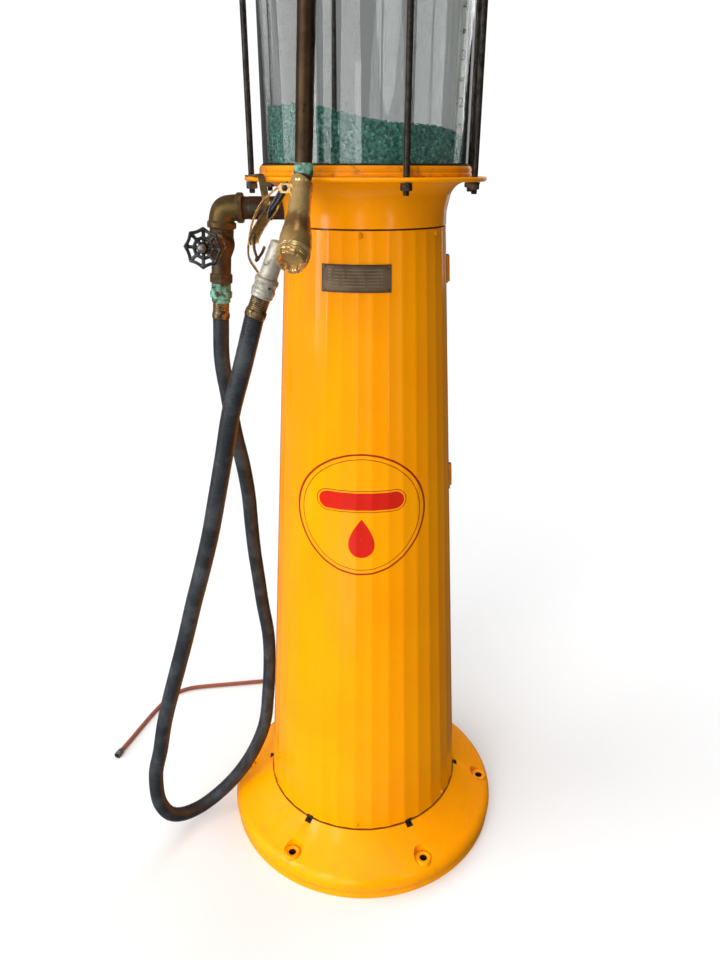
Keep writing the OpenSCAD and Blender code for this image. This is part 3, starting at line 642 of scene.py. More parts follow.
FINISHES = {
    "paint_yellow": lambda: yellow_paint("paint_yellow"),
    "paint_badge": lambda: yellow_paint("paint_badge", badge=True),
    "paint_cast": lambda: yellow_paint("paint_cast", rough_cast=0.5),
    "paint_worn": lambda: yellow_paint("paint_worn", rough_cast=0.6, worn=True),
    "verdigris_brass": verdigris,
    "barrel_brass": barrel_brass,
    "black_iron": black_enamel,
    "hose_rubber": lambda: rubber("hose_rubber", srgb(34, 37, 41), srgb(72, 77, 80), 14,
                                  (0.34, 0.55)),
    "gasket_rubber": lambda: rubber("gasket_rubber", srgb(26, 25, 24), srgb(60, 56, 50)),
    "grip_rubber": lambda: rubber("grip_rubber", srgb(22, 22, 23), srgb(60, 60, 60)),
    "clear_glass": clear_glass,
    "milk_glass": milk_glass,
    "granule_glass": granule_glass,
    "gauge_white": gauge_white,
    "plate_bronze": ruled_bronze,
    "cord_cover": braided_cover,
}
made = {}


def finish(name):
    """The material of a name, made when it is first asked for."""
    if name not in made:
        made[name] = worn_metal(name) if name in METALS else FINISHES[name]()
    return made[name]


# ---- shapes ----

def soften(points, size, closed=False, steps=3):
    """An outline with each corner replaced by a short curve."""
    points = [Vector(p) for p in points]
    count = len(points)
    result = []
    for k, p in enumerate(points):
        if not closed and k in (0, count - 1):
            result.append(p)
            continue
        before, after = points[k - 1] - p, points[(k + 1) % count] - p
        cut = min(size, before.length * 0.45, after.length * 0.45)
        a, b = p + before.normalized() * cut, p + after.normalized() * cut
        for s in range(steps + 1):
            u = s / steps
            result.append((1 - u) ** 2 * a + 2 * u * (1 - u) * p + u * u * b)
    return result


def arc(centre, r, start, end, steps):
    return [(centre[0] + r * math.cos(rad(start + (end - start) * k / steps)),
             centre[1] + r * math.sin(rad(start + (end - start) * k / steps)))
            for k in range(steps + 1)]


def on_circle(r, k, n):
    """The k-th of n points round a circle."""
    return r * math.cos(k * math.tau / n), r * math.sin(k * math.tau / n)


def plug(r, z0, z1):
    """The profile of a solid cylinder."""
    return [(0, z0), (r, z0), (r, z1), (0, z1)]


def band(a, b, n):
    """Faces between two rings of n points that start at a and at b."""
    return [[a + k, a + (k + 1) % n, b + (k + 1) % n, b + k] for k in range(n)]


def curve_through(points, step):
    """Points a step apart on a smooth curve through a list of points."""
    p = [Vector(q) for q in points]
    p = [2 * p[0] - p[1]] + p + [2 * p[-1] - p[-2]]
    fine = []
    for k in range(1, len(p) - 2):
        for s in range(24):
            u = s / 24
            fine.append(0.5 * (2 * p[k] + (p[k + 1] - p[k - 1]) * u
                               + (2 * p[k - 1] - 5 * p[k] + 4 * p[k + 1] - p[k + 2]) * u ** 2
                               + (3 * p[k] - p[k - 1] - 3 * p[k + 1] + p[k + 2]) * u ** 3))
    fine.append(p[-2])
    along = [0.0]
    for a, b in zip(fine, fine[1:]):
        along.append(along[-1] + (b - a).length)
    count = max(2, round(along[-1] / step))
    targets = np.linspace(0, along[-1], count + 1)
    fine = np.array([tuple(v) for v in fine])
    return [Vector(v) for v in np.column_stack(
        [np.interp(targets, along, fine[:, axis]) for axis in range(3)])]


class Shape:
    """Points and faces of one piece, added bit by bit."""

    def __init__(self):
        self.points = []
        self.faces = []

    def add(self, points, faces, place=None):
        base = len(self.points)
        self.points += [place @ Vector(p) if place else Vector(p) for p in points]
        self.faces += [[base + i for i in face] for face in faces]
        return self

    def lathe(self, profile, place=None, n=64, closed=False):
        """Turns (radius, height) points about +Z. A closed profile makes a ring."""
        points, rows = [], []
        for r, z in profile:
            start = len(points)
            count = 1 if r < 1e-4 else n
            points += [(*on_circle(r, k, n), z) for k in range(count)]
            rows.append(list(range(start, start + count)))
        faces = []
        for a, b in list(zip(rows, rows[1:])) + ([(rows[-1], rows[0])] if closed else []):
            for k in range(n):
                k2 = (k + 1) % n
                ring = (a[k % len(a)], a[k2 % len(a)], b[k2 % len(b)], b[k % len(b)])
                face = list(dict.fromkeys(ring))
                if len(face) > 2:
                    faces.append(face)
        return self.add(points, faces, place)

    def nut(self, flat, z0, z1, place=None, bore=0.0, sides=6):
        """A nut with its corners turned off at both ends."""
        n = sides * 10
        half = flat / 2
        wedge = 360 / sides
        points, faces = [], []

        def flat_r(k):
            return half / math.cos(rad((k * 360 / n) % wedge - wedge / 2))

        for z, way, rim in ((z1, -1, False), (z1, -1, True), (z0, 1, True), (z0, 1, False)):
            for k in range(n):
                r = flat_r(k) if rim else half * 0.97
                drop = (r - half * 0.97) * 0.55 + 0.15 if rim else 0
                points.append((*on_circle(r, k, n), z + way * drop))
        for ring in range(3):
            faces += band(ring * n, (ring + 1) * n, n)
        if bore:
            for z in (z1, z0):
                points += [(*on_circle(bore, k, n), z) for k in range(n)]
            for a, b in ((0, 4), (4, 5), (5, 3)):
                faces += band(b * n, a * n, n)
        else:
            faces += [list(range(n)), list(range(3 * n, 4 * n))]
        return self.add(points, faces, place)

    def sweep(self, path, section, side=(0, 1, 0), place=None):
        """Carries a closed section along a path. section(u) gives (side, up) offsets."""
        path = [Vector(p) for p in path]
        last = len(path) - 1
        side = Vector(side)
        points, faces, n = [], [], 0
        for k, p in enumerate(path):
            t = (path[min(k + 1, last)] - path[max(k - 1, 0)]).normalized()
            side = (side - side.dot(t) * t).normalized()
            up = t.cross(side)
            ring = section(k / last)
            n = len(ring)
            points += [p + a * side + b * up for a, b in ring]
        for k in range(last):
            faces += band(k * n, (k + 1) * n, n)
        faces += [list(range(n)), list(range(last * n, last * n + n))]
        return self.add(points, faces, place)

    def box(self, lowest, highest, place=None):
        a, b = lowest, highest
        points = [(x, y, z) for x in (a[0], b[0]) for y in (a[1], b[1]) for z in (a[2], b[2])]
        faces = [[0, 1, 3, 2], [4, 6, 7, 5], [0, 4, 5, 1], [2, 3, 7, 6], [0, 2, 6, 4],
                 [1, 5, 7, 3]]
        return self.add(points, faces, place)


def round_section(r, n=24):
    ring = [on_circle(r, k, n) for k in range(n)]
    return lambda u: ring


def strap_ring(w, t, edge):
    """A flat bar's outline, w across the side direction and t thick."""
    corners = [(w / 2, t / 2), (-w / 2, t / 2), (-w / 2, -t / 2), (w / 2, -t / 2)]
    return [tuple(p) for p in soften(corners, edge, closed=True, steps=2)]


def strap_section(w, t, edge=0.8):
    ring = strap_ring(w, t, edge)
    return lambda u: ring


def to_object(shape, name):
    """A mesh object in metres, welded and with its normals outward."""
    mesh = bpy.data.meshes.new(name)
    mesh.from_pydata([p * MM for p in shape.points], [], shape.faces)
    tidy = bmesh.new()
    tidy.from_mesh(mesh)
    bmesh.ops.remove_doubles(tidy, verts=tidy.verts, dist=1e-6)
    bmesh.ops.recalc_face_normals(tidy, faces=tidy.faces)
    tidy.to_mesh(mesh)
    tidy.free()
    piece = bpy.data.objects.new(name, mesh)
    scene.collection.objects.link(piece)
    return piece


def bake(piece):
    """Applies a piece's modifiers."""
    graph = bpy.context.evaluated_depsgraph_get()
    graph.update()
    mesh = bpy.data.meshes.new_from_object(piece.evaluated_get(graph))
    piece.modifiers.clear()
    old = piece.data
    piece.data = mesh
    bpy.data.meshes.remove(old)


def fuse(piece, voxel, rounds=2):
    """Melts overlapping solids into one casting with soft inner corners."""
    remesh = piece.modifiers.new("fuse", "REMESH")
    remesh.mode = "VOXEL"
    remesh.voxel_size = voxel * MM
    smooth = piece.modifiers.new("soften", "SMOOTH")
    smooth.factor = 0.5
    smooth.iterations = rounds
    bake(piece)
    return piece


def thicken(piece, thickness):
    """Gives a sheet a thickness, inwards from its outer face."""
    solid = piece.modifiers.new("thickness", "SOLIDIFY")
    solid.thickness = thickness * MM
    solid.offset = -1
    bake(piece)


def boolean(piece, shape, operation="DIFFERENCE"):
    """Cuts a shape from a piece, or joins it to the piece."""
    other = to_object(shape, "cutter")
    cut = piece.modifiers.new("cut", "BOOLEAN")
    cut.object = other
    cut.operation = operation
    cut.solver = "EXACT"
    bake(piece)
    bpy.data.objects.remove(other)
    return piece


def dress(piece, slot, body="stand", stands_for=(), look=None, sharp=35):
    """Gives a piece its finish, its body and the CAD nodes that it stands for."""
    piece.data.shade_smooth()
    piece.data.set_sharp_from_angle(angle=rad(sharp))
    piece.data.materials.clear()
    piece.data.materials.append(finish(look or slot))
    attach(piece, body)
    if stands_for:
        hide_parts(*stands_for)
    return piece


def turned(name, profile, slot, place=None, body="stand", stands_for=(), edge=0.6, n=64,
           closed=False, look=None):
    """A piece turned from one softened profile."""
    shape = Shape().lathe(soften(profile, edge, closed), place, n, closed)
    return dress(to_object(shape, name), slot, body, stands_for, look)


# ---- hose and cord ----

HOSE_ROUTE = [(-290, 0, 1240), (-295, 5, 1155), (-290, 20, 1070), (-285, 40, 985),
              (-275, 60, 900), (-270, 80, 815), (-270, 95, 735), (-270, 115, 650),
              (-265, 125, 565), (-260, 135, 480), (-250, 135, 390), (-248, 116, 316),
              (-251, 83, 242), (-259, 41, 174), (-289, -13, 121), (-339, -56, 71),
              (-407, -101, 37), (-456, -156, 67), (-479, -184, 134), (-480, -185, 220),
              (-460, -190, 300), (-440, -200, 385), (-415, -210, 470), (-390, -215, 550),
              (-365, -225, 630), (-340, -235, 715), (-315, -245, 795), (-290, -255, 880),
              (-270, -265, 960), (-250, -270, 1045), (-230, -280, 1130), (-205, -285, 1210),
              (-180, -285, 1295)]
HOSE_R = 16.5
CORD_ROUTE = [(0, 352, 28), (0, 375, 26), (-3, 398, 19), (-12, 420, 11), (-30, 440, 7),
              (-60, 452, 6), (-100, 457, 6), (-150, 456, 6), (-205, 450, 6), (-260, 442, 6),
              (-320, 433, 6), (-380, 424, 6), (-440, 415, 6), (-500, 406, 6),
              (-545, 396, 6), (-580, 376, 6), (-602, 348, 6), (-618, 315, 6),
              (-635, 270, 6), (-652, 215, 6), (-668, 160, 7), (-680, 118, 9)]
CORD_R = 6.0


def make_hose():
    """A rubber hose with fine ribs round it."""
    rib = 4.4
    path = curve_through(HOSE_ROUTE, rib / 4)
    dips = (0.0, 0.36, 0.85, 0.36)
    sides = 28
    count = len(path) - 1

    def section(u):
        r = HOSE_R - dips[round(u * count) % 4]
        return [on_circle(r, k, sides) for k in range(sides)]

    hose = dress(to_object(Shape().sweep(path, section), "hose"), "hose_rubber",
                 stands_for=["discharge_hose"], sharp=80)
    [p * MM for p in curve_through(HOSE_ROUTE, 20)]


def make_supply_cord():
    """A woven-covered cord from the gland along the floor to a screw coupling."""
    shape = Shape().sweep(curve_through(CORD_ROUTE, 3), round_section(CORD_R, 20))
    cord = dress(to_object(shape, "mains_cord"), "cord_cover", stands_for=["supply_cord"])
    place = aim(CORD_ROUTE[-1], (-12, -42, 0))
    coupling = Shape().lathe(soften([(0, -2), (8, -2), (8, 8), (6.4, 8.6), (6.4, 9)], 0.8),
                             place, 48)
    for k in range(6):
        z = 9 + k * 1.8
        coupling.lathe([(6, z - 0.9), (8.3, z - 0.5), (9, z), (8.3, z + 0.5), (6, z + 0.9)],
                       place, 48, closed=True)
    coupling.lathe(soften([(5.4, 8), (8.2, 8), (8.2, 19), (7.6, 20), (5.4, 20)], 0.4, True),
                   place, 48, closed=True)
    coupling = dress(to_object(coupling, "screw_coupling"), "zinc",
                     stands_for=["cord_coupling"])
    [p * MM for p in curve_through(CORD_ROUTE, 15)]
    gland = Shape().nut(26, 332, 340, GLAND, 6)
    gland.lathe(soften([(6, 340), (12, 340), (11.6, 345), (8.4, 352), (6, 352)], 0.8, True),
                GLAND, 48, closed=True)
    dress(to_object(gland, "gland_nut"), "zinc", stands_for=["cord_gland"])


# ---- base and column ----

def make_base():
    """The cast foot, with a boss round each anchor hole and cable notches at the seam."""
    rim = (BASE_R - 30, 30)
    end = (rim[0] + 30 * math.cos(rad(62)), rim[1] + 30 * math.sin(rad(62)))
    a, b, c = Vector(end), Vector((272, SEAM_Z - 31)), Vector((FOOT_R + 3, SEAM_Z - 3))
    slope = [(1 - u) ** 2 * a + 2 * u * (1 - u) * b + u * u * c
             for u in (k / 12 for k in range(1, 13))]
    land = soften([slope[-1], (FOOT_R + 1.5, SEAM_Z - 0.9), (FOOT_R - 1, SEAM_Z - 0.9),
                   (226.5, SEAM_Z - 0.9), (226.5, SEAM_Z + 24), (216, SEAM_Z + 24),
                   (216, SEAM_Z - 1), (200, SEAM_Z - 1), (200, SEAM_Z - 12),
                   (222, SEAM_Z - 14), (262, 66), (300, 44), (BASE_R - 10, 24),
                   (BASE_R - 15, 0.4)], 0.8)
    profile = [(BASE_R - 3, 0.4)] + arc(rim, 30, -30, 62, 16) + land
    base = to_object(Shape().lathe([tuple(p) for p in profile], n=216, closed=True), "base")
    spots, bosses, cuts, hole_shade = Shape(), Shape(), Shape(), Shape()
    for k in range(ANCHORS):
        az = ANCHOR_AZ + 360 / ANCHORS * k
        spot = Matrix.Translation(out(az, ANCHOR_R))
        spots.lathe([(0, 57), (20.5, 57), (26, 90), (0, 90)], spot, 48)
        bosses.lathe(soften([(0, 30), (21, 30), (18.8, 53), (17.6, 60), (16, 62.4), (13.2, 62.4),
                             (11.6, 60.6), (0, 60.2)], 1.0), spot, 48)
        cuts.lathe(plug(ANCHOR_HOLE / 2, -5, 80), spot, 40)
        cuts.box((-8.5, -243, SEAM_Z - 30), (8.5, -227.5, SEAM_Z + 10), turn(az, "Z"))
        # Painted shade: dark rubber sleeves inside each anchor hole and dark blocks in each cable
        # notch, where the holes and notches are in shade.
        hole_shade.lathe([(7.6, 4), (8.7, 4), (8.7, 59.2), (7.6, 59.2)], spot, 40, closed=True)
        hole_shade.box((-8.4, -242.9, SEAM_Z - 29), (8.4, -227.6, SEAM_Z - 8), turn(az, "Z"))
        hole_shade.box((-8.0, -232.4, SEAM_Z - 4), (8.0, -227.0, SEAM_Z + 5), turn(az, "Z"))
    cuts.lathe(plug(10, 280, 340), GLAND, 40)
    boss = soften([(0, 290), (19, 290), (17, 331), (0, 331)], 1.2)
    boolean(base, spots)
    boolean(base, bosses.lathe(boss, GLAND, 48), "UNION")
    boolean(base, cuts)
    dress(base, "paint_yellow", stands_for=["base_casting"], look="paint_cast", sharp=30)
    # The dark sleeves and blocks are painted shade inside the holes and notches.
    dress(to_object(hole_shade, "painted_shade_sleeves"), "gasket_rubber")


def flute_r(az, z):
    """Radius of the fluted wall: shallow hollows between narrow rounded ridges."""
    u = ((az - RIDGE_AZ) % PITCH) / PITCH - 0.5
    ridge = wall_r(z)
    scale = ridge / FOOT_R
    chord = ridge * math.cos(rad(PITCH / 2)) / math.cos(rad(u * PITCH))
    hollow = 0.6 * scale * (1 - (2 * u) ** 2)
    worn = 0.3 * math.exp(-((0.5 - abs(u)) / 0.03) ** 2)
    return chord - hollow - worn


def wall_sheet(name, az_range, z_range, hole=None):
    """A fluted sheet between two azimuths and two heights, with an optional opening."""
    offsets = (0, 0.03, 0.08, 0.16, 0.28, 0.42, 0.58, 0.72, 0.84, 0.92, 0.97)
    azimuths = {RIDGE_AZ + (k + o) * PITCH for k in range(-36, 72) for o in offsets}
    full = az_range[1] - az_range[0] >= 360
    azimuths = {a for a in azimuths if az_range[0] + 0.15 < a < az_range[1] - 0.15}
    azimuths |= {az_range[0]} if full else set(az_range)
    heights = set(np.linspace(z_range[0] + 6, z_range[1] - 6, 40))
    if hole:
        azimuths |= set(hole[0])
        heights = {z for z in heights if min(abs(z - h) for h in hole[1]) > 4} | set(hole[1])
    azimuths = sorted(azimuths)
    ends = [(z_range[0], 0.7), (z_range[0] + 0.6, 0.1), (z_range[1] - 0.6, 0.1),
            (z_range[1], 0.7)]
    rows = sorted([(z, 0.0) for z in heights] + ends)
    points = [out(az, flute_r(az, z) - inset, z) for z, inset in rows for az in azimuths]
    n = len(azimuths)
    faces = []
    for i in range(len(rows) - 1):
        mid_z = (rows[i][0] + rows[i + 1][0]) / 2
        for j in range(n if full else n - 1):
            j2 = (j + 1) % n
            mid_az = (azimuths[j] + (azimuths[j2] if j2 else az_range[1])) / 2
            if hole and hole[0][0] < mid_az < hole[0][1] and hole[1][0] < mid_z < hole[1][1]:
                continue
            faces.append([i * n + j, i * n + j2, (i + 1) * n + j2, (i + 1) * n + j])
    sheet = to_object(Shape().add(points, faces), name)
    thicken(sheet, 2.5)
    return sheet


def make_column():
    """The fluted sheet column, and the door in it with its knob."""
    hole = (DOOR_AZ, DOOR_Z)
    shell = wall_sheet("column", (-175, 185), (SEAM_Z + 1.1, NECK_Z - 1.0), hole)
    boolean(shell, Shape().lathe(plug(14, 150, 260), turn(-90, "X") @ shift(0, -PUMP_Z, 0), 40))
    dress(shell, "paint_yellow", stands_for=["column_shell"], look="paint_badge", sharp=40)
    gap = 0.32
    door = wall_sheet("door_panel", (DOOR_AZ[0] + gap, DOOR_AZ[1] - gap),
                      (DOOR_Z[0] + 1, DOOR_Z[1] - 1))
    dress(door, "paint_yellow", "door", ["access_door"], sharp=40)
    turned("door_knob", [(0, -2), (4, -2), (4, 13), (8.5, 14.5), (11, 18.5), (10.5, 21.5),
                         (6, 24), (0, 24.5)], "nozzle_brass", on_wall(142, 1110), "door",
           ["door_pull"], edge=1.5)


def slotted_heads(name, places, r, height, slot, stands_for, look=None):
    """Domed screw heads with a slot across each."""
    heads, slots = Shape(), Shape()
    for place in places:
        heads.lathe([(0, -2), (r, -2), (r, 0.5), (r * 0.9, height * 0.55), (r * 0.6, height * 0.9),
                     (0, height)], place, 32)
        slots.box((-r - 1, -0.65, height - 1.1), (r + 1, 0.65, height + 1), place)
    return dress(boolean(to_object(heads, name), slots), slot, stands_for=stands_for, look=look)


def make_column_screws():
    """Two rings of six screws, at the column's foot and head."""
    places = [on_wall(SCREW_AZ + 60 * k, z) @ turn(37 * k + z, "Z")
              for k in range(6) for z in (SEAM_Z + 12, NECK_Z - 9)]
    slotted_heads("column_heads", places, 5.2, 2.8, "paint_yellow", ["column_screws"],
                  "paint_worn")


def make_nameplate():
    """A bent plate with a raised border and ruled lines, left blank."""
    middle, half = -6.0, 23.0
    z0, z1 = low("nameplate").z, high("nameplate").z
    width = 2 * half * rad(1) * wall_r(z0)
    draw = random.Random(5)
    lines = [(z1 - 9 - 5.6 * k, draw.uniform(9, 26), draw.uniform(9, 30)) for k in range(6)]
    n_az, n_z = 200, 84

    def proud(s, z):
        border = min(s, width - s, z - z0, z1 - z)
        height = 0.5 if 1.0 < border < 2.6 else 0.0
        for line_z, left, right in lines:
            if abs(z - line_z) < 1.1 and left < s < width - right:
                height = 0.28
        return height

    shape = Shape()
    points, faces = [], []
    for i in range(n_z + 1):
        z = z0 + (z1 - z0) * i / n_z
        for j in range(n_az + 1):
            u = j / n_az
            az = middle - half + 2 * half * u
            points.append(out(az, wall_r(z) + 1.2 + proud(u * width, z), z))
    for i in range(n_z):
        for j in range(n_az):
            k = i * (n_az + 1) + j
            faces.append([k, k + 1, k + n_az + 2, k + n_az + 1])
    plate = to_object(shape.add(points, faces), "maker_plate")
    thicken(plate, 1.2)
    dress(plate, "plate_bronze", stands_for=["nameplate"], sharp=25)
    rivets = Shape()
    for side in (-1, 1):
        for z in (z0 + 5, z1 - 5):
            rivets.lathe([(0, 0.6), (3, 0.6), (2.9, 1.7), (2.0, 2.7), (0, 3.1)],
                         on_wall(middle + side * 21.3, z), 28)
    dress(to_object(rivets, "plate_rivets"), "bronze_dark", stands_for=["nameplate_rivets"],
          look="bronze_black")


# ---- neck, glass and crown ----

def make_neck():
    """The bell between the column and the glass, its flange, and the ring the glass sits in."""
    h, z = HEAD_R, NECK_Z
    outer = [(h, z + 1.2), (h, z + 25), (h + 2.5, z + 38), (h + 7, z + 58), (h + 16, z + 70),
             (h + 30, z + 76.5)]
    outer = [tuple(p) for p in soften(outer, 14, steps=6)]
    rest = soften([outer[-1], (FLANGE_R - 3, z + 77), (FLANGE_R, z + 79.5),
                   (FLANGE_R, FLANGE_Z - 2), (FLANGE_R - 2, FLANGE_Z)], 1.4)
    inner = [(12, FLANGE_Z), (12, FLANGE_Z - 8), (h - 2, FLANGE_Z - 10), (h - 6, z + 30),
             (140, z), (140, z - 25), (148, z - 25), (148, z + 1.2)]
    neck = to_object(Shape().lathe(outer[:-1] + [tuple(p) for p in rest] + inner, n=192,
                                   closed=True), "neck")
    holes = Shape()
    for at in rod_places():
        holes.lathe(plug(ROD_HOLE_R, FLANGE_Z - 20, FLANGE_Z + 5), at, 32)
    holes.lathe(plug(21.6, -200, -120), shift(0, 0, ELBOW.z) @ turn(90, "Y"), 48)
    boolean(neck, holes)
    dress(neck, "paint_yellow", stands_for=["neck_casting"], look="paint_cast", sharp=30)
    turned("seat_ring", [(184, 0), (197, 0), (198, 1.5), (198, 5.5), (196.6, 6.5), (196.6, 8),
                         (197, 9), (197, 13), (195, 18), (184, 18)], "paint_yellow",
           shift(0, 0, FLANGE_Z), stands_for=["glass_seat_ring"], edge=1.0, n=192,
           closed=True, look="paint_worn")


def make_glass():
    """The measuring cylinder and its two gaskets."""
    inner = GLASS_R - GLASS_WALL / 2
    turned("glass_tube", [(GLASS_R, GLASS_LOW), (GLASS_R, GLASS_HIGH), (inner, GLASS_HIGH),
                          (inner, GLASS_LOW)], "clear_glass", n=192, closed=True,
           stands_for=["glass_cylinder"], edge=1.2)
    rings = Shape()
    for z in (GLASS_LOW - 3, GLASS_HIGH):
        rings.lathe(soften([(inner, z), (GLASS_R + 2, z), (GLASS_R + 2.6, z + 1.5),
                            (GLASS_R + 2, z + 3), (inner, z + 3)], 0.5, True), n=160,
                    closed=True)
    dress(to_object(rings, "gaskets"), "gasket_rubber", stands_for=["glass_gaskets"])


def make_gauge():
    """The measuring strip inside the glass: a folded white strip with ticks and figures."""
    a, b = low("gauge_strip"), high("gauge_strip")
    outline = soften([(a.x, a.y + 0.2), (a.x + 1, a.y), (b.x - 1, a.y), (b.x, a.y + 0.2),
                      (b.x, b.y), (a.x, b.y)], 0.3, True)
    strip = Shape().sweep([(0, 0, a.z), (0, 0, b.z)], lambda u: [tuple(p) for p in outline],
                          side=(1, 0, 0))
    dress(to_object(strip, "scale_strip"), "gauge_white", stands_for=["gauge_strip"])
    marks = Shape()
    first, pitch = a.z + 36, 71.0
    count = int((b.z - first) / pitch) + 1
    for k in range(count * 2 - 1):
        z = first + k * pitch / 2
        if k % 2:
            marks.box((b.x - 9, a.y - 0.15, z - 3.4), (b.x - 2.5, a.y + 0.4, z + 3.4))
        marks.box((a.x + 1, a.y - 0.15, z - 0.5), (a.x + 3.4, a.y + 0.4, z + 0.5))
    dress(to_object(marks, "scale_ticks"), "black_iron")
    for k in range(count):
        text = bpy.data.curves.new("figure", "FONT")
        text.body = str(k + 1)
        text.size = 22 * MM
        text.extrude = 0.15 * MM
        text.align_x, text.align_y = "CENTER", "CENTER"
        figure = bpy.data.objects.new("figure", text)
        scene.collection.objects.link(figure)
        figure.matrix_world = shift((b.x - 5.2) * MM, (a.y - 0.02) * MM,
                                    (first + k * pitch) * MM) @ turn(90, "X")
        bpy.context.view_layer.update()
        mesh = bpy.data.meshes.new_from_object(figure)
        mesh.transform(figure.matrix_world)
        bpy.data.objects.remove(figure)
        number = bpy.data.objects.new(f"scale_figure_{k + 1:02d}", mesh)
        scene.collection.objects.link(number)
        dress(number, "black_iron")


def make_granules():
    """A heap of broken stones against the glass, over a solid core."""
    draw = np.random.default_rng(21)
    outer_r, core_r = 180.5, 178
    heap_z, tilt = FLANGE_Z + 92, math.tan(rad(8))
    floor_z = FLANGE_Z + 14

    def top(x, y):
        swell = 5 * np.sin(x / 37 + 1) * np.cos(y / 45)
        mound = 14 * np.exp(-((y + 10) ** 2 + (x + 20) ** 2) / 9000)
        return heap_z + swell - tilt * x + mound

    n, rings = 120, 24
    points = [(0, 0, floor_z)] + [(*on_circle(core_r, k, n), floor_z) for k in range(n)]
    faces = [[0, 1 + (k + 1) % n, 1 + k] for k in range(n)]
    for i in range(rings):
        for k in range(n):
            x, y = on_circle(core_r * (1 - i / rings), k, n)
            points.append((x, y, float(top(x, y)) - 3))
    points.append((0, 0, float(top(0.0, 0.0)) - 3))
    for i in range(rings):
        faces += band(1 + i * n, 1 + (i + 1) * n, n)
    start = 1 + rings * n
    faces += [[start + k, start + (k + 1) % n, len(points) - 1] for k in range(n)]
    heap = Shape().add(points, faces)
    centres = []
    for _ in range(5200):
        r, a = 174 * math.sqrt(draw.random()), draw.random() * math.tau
        x, y = r * math.cos(a), r * math.sin(a)
        centres.append((x, y, float(top(x, y)) - 1 + draw.normal(0, 1.2)))
    for _ in range(9000):
        a = draw.random() * math.tau
        x, y = math.cos(a) * (outer_r - 2.2), math.sin(a) * (outer_r - 2.2)
        high_z = float(top(x, y))
        centres.append((x, y, floor_z + (high_z - floor_z) * draw.random()))
    ball = bmesh.new()
    bmesh.ops.create_icosphere(ball, subdivisions=1, radius=1)
    corners = np.array([tuple(v.co) for v in ball.verts])
    triangles = [[v.index for v in f.verts] for f in ball.faces]
    ball.free()
    for c in centres:
        size = draw.uniform(1.6, 3.1)
        spin = Matrix.Rotation(draw.random() * math.tau, 3, Vector(draw.normal(size=3)))
        rough = corners * draw.uniform(0.7, 1.15, (len(corners), 3)) * size
        rough = rough * (1.0, draw.uniform(0.65, 1.0), draw.uniform(0.5, 0.9))
        stone = rough @ np.array(spin) + np.array(c)
        away = np.hypot(stone[:, 0], stone[:, 1])
        stone[:, :2] *= np.minimum(1, (outer_r + 0.8) / away)[:, None]
        heap.add(stone.tolist(), triangles)
    dress(to_object(heap, "granule_heap"), "granule_glass", stands_for=["display_granules"],
          sharp=20)


def make_rods():
    """Tie rods with threaded ends, chamfered nuts and washers."""
    rods, nuts, washers = Shape(), Shape(), Shape()
    z0, z1 = low("tie_rods").z, high("tie_rods").z
    thread, thread_pitch = [], 1.75
    for start, end in ((z0 + 1.5, z0 + 32), (z1 - 32, z1 - 1.5)):
        for k in range(int((end - start) / thread_pitch)):
            z = start + k * thread_pitch
            thread += [(ROD_R - 0.7, z), (ROD_R, z + 0.6), (ROD_R, z + 1.0)]
        if start < (z0 + z1) / 2:
            thread += [(ROD_R - 0.1, end + 1)]
            thread += [(ROD_R - 0.1, z0 + (z1 - z0) * s / 8) for s in range(1, 8)]
    profile = [(0, z0), (ROD_R - 1, z0)] + thread + [(ROD_R - 1, z1), (0, z1)]
    for k, at in enumerate(rod_places()):
        at = at @ turn(23 * k, "Z")
        rods.lathe(profile, at, 20)
        for z in (FLANGE_Z - 20.4, CROWN_Z + 10.5):
            nuts.nut(17.5, z, z + 9.5, at, ROD_R)
        for z in (FLANGE_Z - 10.9, CROWN_Z + 8):
            washers.lathe(soften([(6, z), (10, z), (10, z + 2.5), (6, z + 2.5)], 0.4, True),
                          at, 32, closed=True)
    dress(to_object(rods, "long_rods"), "aged_steel", stands_for=["tie_rods"])
    dress(to_object(nuts, "hex_nuts"), "aged_steel", stands_for=["rod_nuts"], sharp=25)
    dress(to_object(washers, "flat_washers"), "aged_steel", stands_for=["rod_washers"])


